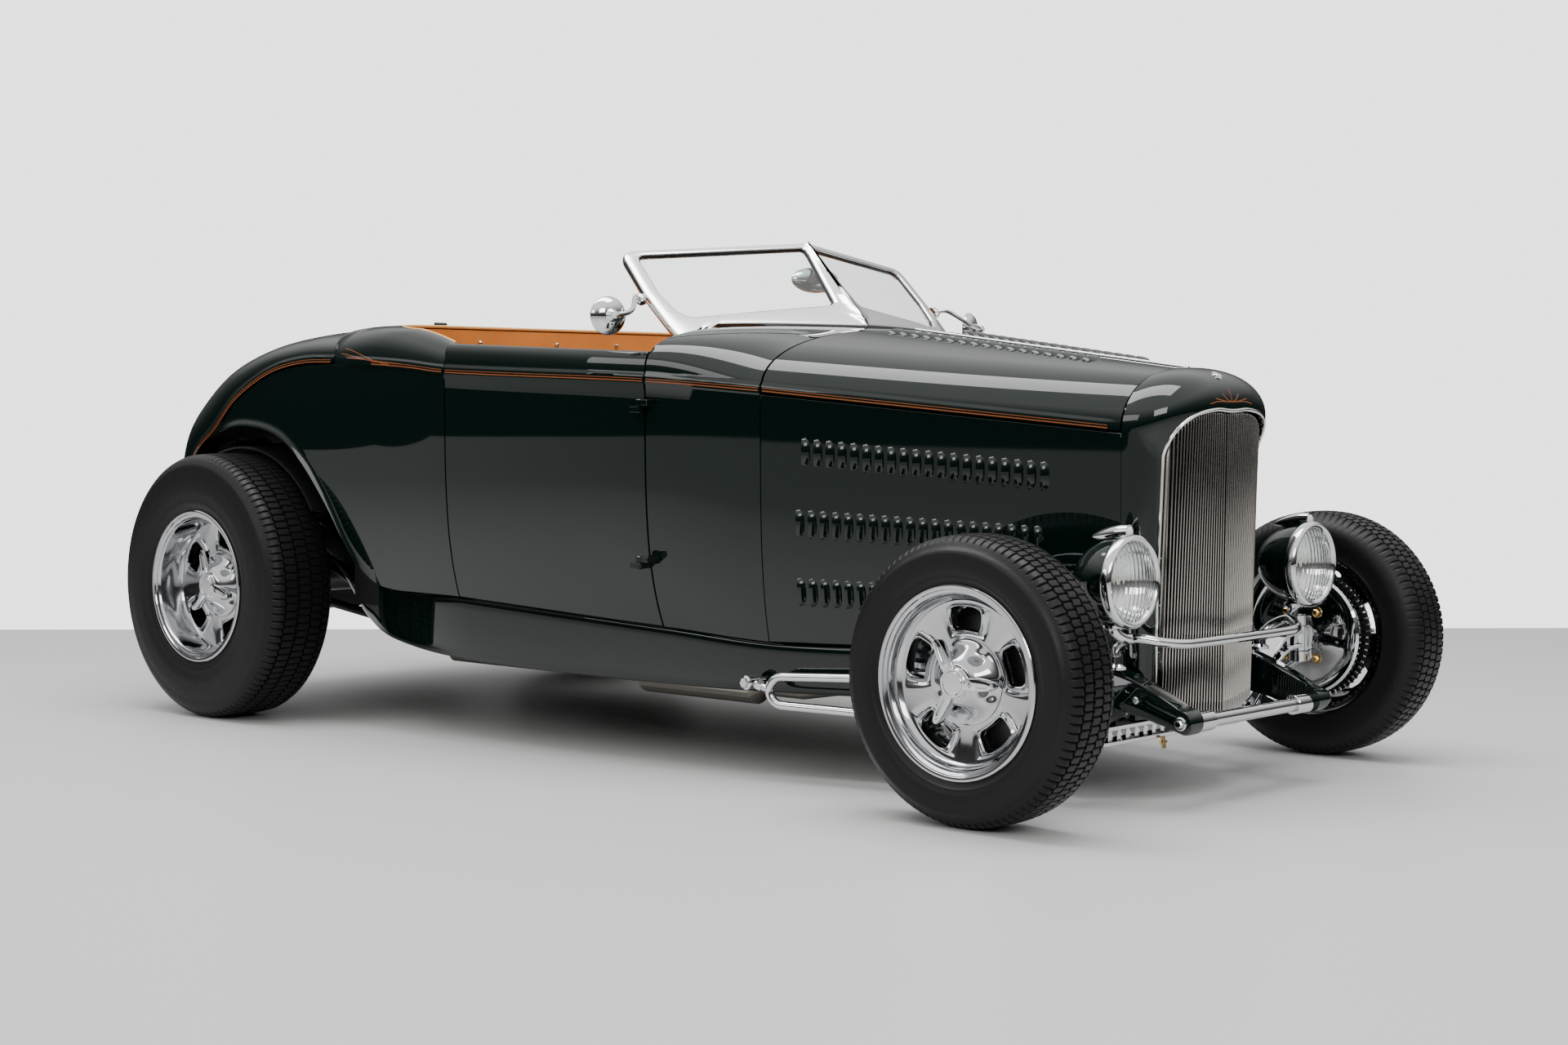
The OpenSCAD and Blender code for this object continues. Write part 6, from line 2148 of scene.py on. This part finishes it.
# ------------------------------------------------------------------ cockpit
@dataclass
class Cockpit:
    """Leather trim, bench seat, dashboard and steering wheel."""

    seat_x: float = RA + 610
    half: float = 520.0
    floor: float = 306.3
    pleats: int = 9
    snap: tuple = ((0, 5), (4, 4.4), (6.5, 2), (7, 0), (7, -3), (0, -3))

    def trim(self) -> Shape:
        """Returns the leather wall under the cockpit edge, softly bowed.

        Returns:
            The closed surfaces, in mm.
        """
        a, v = mesh_grid(np.linspace(1.2, 178.8, 120), np.linspace(0, 1, 18))
        lip = LINES.rim(a, 90 + 0 * a)
        mid = np.array([COCKPIT_X, 0.0, 0.0])
        way = lip - mid
        way[..., 2] = 0
        way = unit(way)
        z = lerp(560.0, lip[..., 2] - 9, v)
        bow = 5 * np.sin(np.pi * np.clip(v, 0, 1)) ** 0.5
        face = np.stack([lip[..., 0], lip[..., 1], z], -1) - (6 + bow)[..., None] * way
        back = np.stack([lip[..., 0], lip[..., 1], z], -1) + 2.0 * way
        return Shape().add(*slab(face, back))

    def rim_line(self, drop: float, inset: float, steps: int) -> tuple[Array, Array]:
        """Points along the cockpit's edge, and the unit way outward there.

        Args:
            drop: distance below the edge.
            inset: distance in from the edge.
            steps: points along the edge.

        Returns:
            The two arrays in that order.
        """
        a = np.linspace(3, 177, steps)
        lip = LINES.rim(a, 90 + 0 * a)
        way = lip - [COCKPIT_X, 0.0, 0.0]
        way[:, 2] = 0
        way = unit(way)
        return lip - inset * way - [0, 0, drop], way

    def door_trim(self) -> tuple[Shape, Shape, Shape]:
        """Returns a door's leather panel, its piping and its snaps.

        Returns:
            The shapes in that order.
        """
        x, v = mesh_grid(np.linspace(DOOR_REAR + 16, DOOR_FRONT - 12, 40), np.linspace(0.06, 0.992, 30))
        back = LINES.door_inner(x, v, 0.6)
        edge = np.sin(np.pi * np.clip((x - x.min()) / (x.max() - x.min()), 0,
                                      1)) ** 0.35 * np.sin(np.pi * np.clip((v - 0.06) / 0.932, 0, 1)) ** 0.35
        face = LINES.door_inner(x, v, 5.0) + np.stack([0 * x, 6 * edge, 0 * x], -1)
        xs = np.linspace(DOOR_REAR + 22, DOOR_FRONT - 18, 30)
        line = LINES.door_inner(xs, 0.92 + 0 * xs, 11.5)
        piping = Shape().add(tube(line, 3.0, 10))
        snaps = Shape()
        for xi in np.linspace(DOOR_REAR + 90, DOOR_FRONT - 90, 4):
            p = LINES.door_inner(np.array(xi), np.array(0.955), 10.5)
            snaps.add(revolved(self.snap, p, (0, 1, 0.05), 20))
        return Shape().add(*slab(face, back)), piping, snaps

    def puff(self, y: Array) -> Array:
        """How far the pleats stand out at y: an absolute sine to the power 0.45."""
        w = self.half * 2 / (self.pleats * 2)
        return 11 * np.abs(np.sin(np.pi * (y + self.half) / w)) ** 0.45 - 9

    def cushion(self) -> Shape:
        """Returns the bench cushion: pleats run fore and aft, the rolled edge hangs in front.

        Returns:
            The closed surfaces, in mm.
        """
        s, y = mesh_grid(np.linspace(0, 1, 44), np.linspace(-self.half + 6, self.half - 6, 127))
        depth, high = 462.0, 176.0
        roll = np.clip((s - 0.72) / 0.28, 0, 1)
        x = np.where(s < 0.72, self.seat_x + 92 + (depth - 46) * s / 0.72,
                     self.seat_x + 92 + depth - 46 + 46 * np.sin(roll * np.pi / 2))
        z = self.floor + high - 44 * (1 - np.cos(roll * np.pi / 2)) - 8 * (1 - s)
        end = np.clip((self.half - np.abs(y)) / 40, 0, 1) ** 0.4
        puff = self.puff(y)
        face = np.stack([x + puff * np.sin(roll * np.pi / 2) * 0.6, y,
                         z + puff * np.cos(roll * np.pi / 2) - 34 * (1 - end)], -1)
        split = np.abs(y) < 93
        base = np.where(split, 441.5, self.floor)
        low = np.stack([np.minimum(x, self.seat_x + 92 + depth - 6), y, base], -1)
        return Shape().add(*slab(face, low))

    def back(self) -> Shape:
        """Returns the seat back: upright pleats and a rolled top.

        Returns:
            The closed surfaces, in mm.
        """
        s, y = mesh_grid(np.linspace(0, 1, 44), np.linspace(-self.half + 30, self.half - 30, 127))
        roll = np.clip((s - 0.8) / 0.2, 0, 1)
        z = self.floor + 130 + np.where(s < 0.8, 400 * s / 0.8, 400 + 42 * np.sin(roll * np.pi / 2))
        lean = (z - self.floor) * -0.115
        x = self.seat_x + 92 + lean + 26 - 52 * (1 - np.cos(roll * np.pi / 2))
        bend = 60 * (np.abs(y) / self.half) ** 4
        puff = self.puff(y)
        face = np.stack([x + puff * np.cos(roll * np.pi / 2) + bend, y, z + puff * np.sin(roll * np.pi / 2)],
                        -1)
        low = np.stack([self.seat_x - 14 + lean * 0.9 + bend * 0.9 + 0 * x, y,
                        np.minimum(z, self.floor + 530)], -1)
        return Shape().add(*slab(face, low))

    def seam_shade_plate(self, step: float) -> Shape:
        """Returns the dark plate of painted shade beside the door's rear seam.

        Args:
            step: 1 for the plate on the door, -1 for the one on the body.

        Returns:
            The closed surfaces, in mm.
        """
        v = np.linspace(0.02, 0.965, 24)
        skin = LINES.door_skin(DOOR_REAR + 0 * v, v)
        grid = np.stack([skin + [3.6 * step, depth, 0] for depth in (4.0, 30.0, 52.0)])
        return Shape().add(*slab(grid, grid + [1.6 * step, 0, 0]))

    def dash(self) -> tuple[Shape, Shape, Shape]:
        """Returns the dashboard, its gauge faces and its bright rings.

        Returns:
            The shapes in that order.
        """
        x = DOOR_FRONT + 40
        phi = np.linspace(12, 168, 60)
        f = np.where(phi <= 90, phi, 180 - phi)
        p = LINES.crown(x + 0 * f, f)
        top = np.stack([np.where(phi <= 90, 1, -1) * p[:, 1] * 0.972, p[:, 2] - WALL - 2], 1)
        low = np.stack([np.linspace(-560, 560, 60), 905 - 16
                        * np.cos(np.linspace(-np.pi / 2, np.pi / 2, 60))], 1)
        s = np.linspace(0, 1, 16)
        bulge = x + 14 - 22 * np.sin(np.pi * s) ** 0.6
        front = np.stack([np.column_stack([np.full(len(phi), b), lerp(low, top, si)]) for b,
                          si in zip(bulge, s)])
        back = front.copy()
        back[..., 0] = x + 15
        dash = Shape().add(*slab(front, back))
        faces, rings = Shape(), Shape()
        for y, z, r in ((320, 985, 46), (222, 990, 34), (418, 980, 34), (150, 1003, 24), (490, 962, 24)):
            c = (x - 6.5, y, z)
            rings.add(revolved([(r, 3), (r + 3, 5), (r + 7, 4), (r + 8, -6), (r, -6)], c, (-1, 0, 0), 48))
            faces.add(revolved([(0, 2.5), (r + 1, 2.5), (r + 1, -5), (0, -5)], c, (-1, 0, 0), 48))
        return dash, faces, rings

    def wheel(self) -> tuple[Shape, Shape]:
        """Returns the steering wheel's leather rim and its bright spokes and hub.

        Returns:
            The shapes in that order.
        """
        low = np.array([HOOD_REAR - 45.2, 320.0, 560.0])
        mid = np.array([DOOR_FRONT - 190, 320.0, 960.0])
        axis = (mid - low) / np.linalg.norm(mid - low)
        side = np.array([0.0, 1.0, 0.0])
        up = np.cross(axis, side)
        a = np.linspace(0, 2 * np.pi, 97)[:-1]
        path = mid + 180 * (np.cos(a)[:, None] * side + np.sin(a)[:, None] * up)
        rim = Shape().add(tube(path, 13.0, 16, closed=True))
        metal = Shape().add(revolved([(0, -18), (30, -18), (34, -12), (34, 8), (28, 15), (16, 18), (0, 18)],
                                     mid, axis, 56))
        for k in (90, 210, 330):
            d = math.cos(math.radians(k)) * side + math.sin(math.radians(k)) * up
            n = np.cross(axis, d)
            ring = np.array([(-1, -1), (1, -1), (1, 1), (-1, 1), (-1, -1)], float)
            rows = [mid + d * r + ring[:, :1] * w * n + ring[:, 1:] * 2.2 * axis for r,
                    w in ((24, 14), (90, 12), (174, 15))]
            metal.add(capped(np.stack(rows)))
        return rim, metal

    def make(self) -> None:
        """Builds the cockpit pieces."""
        self.trim().build("side_trim", LEATHER, replaces=("cockpit_trim",), crease=60)
        # Black sheets of painted shade that darken the door's rear seam and what shows through it.
        shade_liner = Shape().add(block((DOOR_REAR - 560, -566, 330), (DOOR_REAR - 20, -563, 600)))
        shade_liner.merge(self.seam_shade_plate(-1.0)).both().build("seam_shade_liners", BLACK)
        line, way = self.rim_line(2.0, 4.0, 120)
        Shape().add(tube(line, 4.5, 12)).build("edge_piping", PIPING)
        spots, out = self.rim_line(44.0, 11.0, 120)
        snaps = Shape()
        for i in range(4, 119, 9):
            snaps.add(revolved(self.snap, spots[i], -out[i], 20))
        snaps.build("trim_snaps", CHROME)
        leather, piping, door_snaps = self.door_trim()
        for side in Side:
            body = f"door_{side.value}"
            leather.on(side).build(f"door_leather_{side.value}", LEATHER, body, (f"door_trim_{side.value}",),
                                   crease=60)
            # The door's half of the painted shade in its rear seam.
            self.seam_shade_plate(1.0).on(side).build(f"door_seam_shade_{side.value}", BLACK, body)
            piping.on(side).build(f"door_piping_{side.value}", PIPING, body)
            door_snaps.on(side).build(f"door_snaps_{side.value}", CHROME, body)
        for shape, name, node in ((self.cushion(), "bench_cushion", "seat_cushion"),
                                  (self.back(), "bench_back", "seat_back")):
            obj = shape.build(name, LEATHER, replaces=(node,), crease=60)
        dash, faces, rings = self.dash()
        dash.build("dash_panel", PAINT, replaces=("dashboard",), crease=45)
        faces.build("gauge_faces", GAUGE)
        rings.build("gauge_rings", CHROME)
        rim, metal = self.wheel()
        rim.build("wheel_rim_leather", LEATHER, "steering_wheel", ("steering_wheel",))
        metal.build("wheel_spokes", ALLOY, "steering_wheel")
        carpet = Shape()
        for s in (-1, 1):
            carpet.add(block((RA + 1170, min(95 * s, 500 * s), 306.5),
                             (HOOD_REAR - 60, max(95 * s, 500 * s), 313)))
        carpet.build("floor_carpet", CARPET)


@dataclass
class LidHinges:
    """Barrel hinges of the rear deck lid, half on the lid and half on the body."""

    x: float = RA + 467.5
    z: float = 1112.0
    radius: float = 6.0

    def barrel(self, start: float, stop: float) -> Shape:
        """Returns the barrels between two distances out, on both sides."""
        return Shape().add(disc_stack((self.x, 0.0, self.z), (0, -1, 0),
                                      [(self.radius, start), (self.radius, stop)], 24)).both()

    def make(self) -> None:
        """Builds both halves."""
        self.barrel(300.0, 319.0).build("lid_hinge_barrels", BLACK, "deck_lid")
        self.barrel(319.3, 338.0).build("body_hinge_barrels", BLACK)


# ------------------------------------------------------------------ studio
@dataclass
class Studio:
    """Floor, backdrop light, lamps and camera."""

    eye: tuple[float, float, float] = (4.4468, -4.5869, 0.8759)
    azimuth: float = 42.415
    pitch: float = 2.803
    roll: float = 0.063
    lens: float = 53.87
    depth: float = 9.27
    backdrop: tuple[float, ...] = (2.6, 2.59, 2.56, 1.0)
    sky: tuple = ((0.0, 0.03), (0.10, 0.07), (0.28, 0.30), (0.60, 1.5))

    def camera(self) -> None:
        """Places the camera at the fitted view."""
        cam = bpy.data.cameras.new("view")
        cam.lens = self.lens
        cam.sensor_width = 36.0
        cam.clip_end = 200.0
        cam.dof.use_dof = False
        obj = bpy.data.objects.new("view", cam)
        obj.rotation_mode = "XYZ"
        obj.location = self.eye
        obj.rotation_euler = (math.radians(90 - self.pitch), math.radians(self.roll),
                              math.radians(self.azimuth))
        bpy.context.scene.collection.objects.link(obj)
        bpy.context.scene.camera = obj

    def floor(self) -> None:
        """Lays a plain pale floor that stops at the foot of the backdrop."""
        mat = bpy.data.materials.new("floor")
        mat.use_nodes = True
        shader = mat.node_tree.nodes["Principled BSDF"]
        shader.inputs["Base Color"].default_value = (0.52, 0.52, 0.515, 1.0)
        shader.inputs["Roughness"].default_value = 0.38
        mesh = bpy.data.meshes.new("floor")
        ahead = np.array([-math.sin(math.radians(self.azimuth)), math.cos(math.radians(self.azimuth)), 0.0])
        across = np.array([ahead[1], -ahead[0], 0.0])
        foot = np.array([self.eye[0], self.eye[1], 0.0])
        corners = [foot + a * ahead + b * across for a,
                   b in ((-30, -40), (-30, 40), (self.depth, 40), (self.depth, -40))]
        mesh.from_pydata([tuple(c) for c in corners], [], [(0, 1, 2, 3)])
        mesh.materials.append(mat)
        obj = bpy.data.objects.new("floor", mesh)
        bpy.context.scene.collection.objects.link(obj)

    def lamp(self, name: str, place: Sequence[float], size: Sequence[float], power: float,
             aim: Sequence[float] = (0.0, 0.0, 0.6)) -> None:
        """Adds a soft rectangular lamp.

        Args:
            name: lamp name.
            place: its position in metres.
            size: its width and height in metres.
            power: its power in watts.
            aim: the point it faces.
        """
        light = bpy.data.lights.new(name, "AREA")
        light.shape = "RECTANGLE"
        light.size, light.size_y = size
        light.energy = power
        obj = bpy.data.objects.new(name, light)
        way = Vector(aim) - Vector(place)
        obj.rotation_mode = "QUATERNION"
        obj.rotation_quaternion = way.to_track_quat("-Z", "Y")
        obj.location = place
        bpy.context.scene.collection.objects.link(obj)

    def make(self) -> None:
        """Builds the studio."""
        world = bpy.context.scene.world or bpy.data.worlds.new("studio")
        bpy.context.scene.world = world
        world.use_nodes = True
        tree = world.node_tree
        way = add_node(tree, "TexCoord").outputs["Generated"]
        height = add_node(tree, "SeparateXYZ", Vector=way).outputs["Z"]
        sky = add_node(tree, "ValToRGB", Fac=height)
        for at, tone in self.sky:
            stop = sky.color_ramp.elements.new(at)
            stop.color = (tone, tone * 0.997, tone * 0.99, 1.0)
        sky.color_ramp.elements.remove(sky.color_ramp.elements[-1])
        sky.color_ramp.elements.remove(sky.color_ramp.elements[0])
        ray = add_node(tree, "LightPath").outputs
        first = add_math(tree, "LESS_THAN", ray["Glossy Depth"], 0.5)
        through = add_math(tree, "MULTIPLY", first, ray["Is Transmission Ray"])
        seen = add_math(tree, "MAXIMUM", ray["Is Camera Ray"], through)
        back = tree.nodes["Background"]
        feed(tree, back, "Color", add_mix(tree, seen, sky.outputs["Color"], self.backdrop))
        feed(tree, back, "Strength", 1.0)
        self.camera()
        self.floor()
        self.lamp("overhead", (0.3, -0.6, 5.2), (6.5, 2.4), 420)
        self.lamp("front", (6.5, -4.0, 3.6), (3.5, 2.0), 170)
        self.lamp("side", (-1.5, -7.0, 3.4), (6.0, 1.6), 110)


def main() -> None:
    """Builds every sub-assembly in order and logs its pieces."""
    logging.basicConfig(level=logging.INFO, format="%(name)s %(message)s")
    Studio().make()
    for part in PARTS:
        part.make()


PARTS = [Hood(), BodyShell(), Pinstripes(),
         RoadWheel("front", (FA, -713.0, 307.0), 307.0, 175.0, 206.0, 70.0, 34.0),
         RoadWheel("rear", (RA, -725.5, 374.0), 374.0, 225.0, 215.0, 98.0, 20.0, -15.0), RunningGear(),
         Nose(), Windshield(), Cockpit(), LidHinges()]

if __name__ == "__main__":
    main()
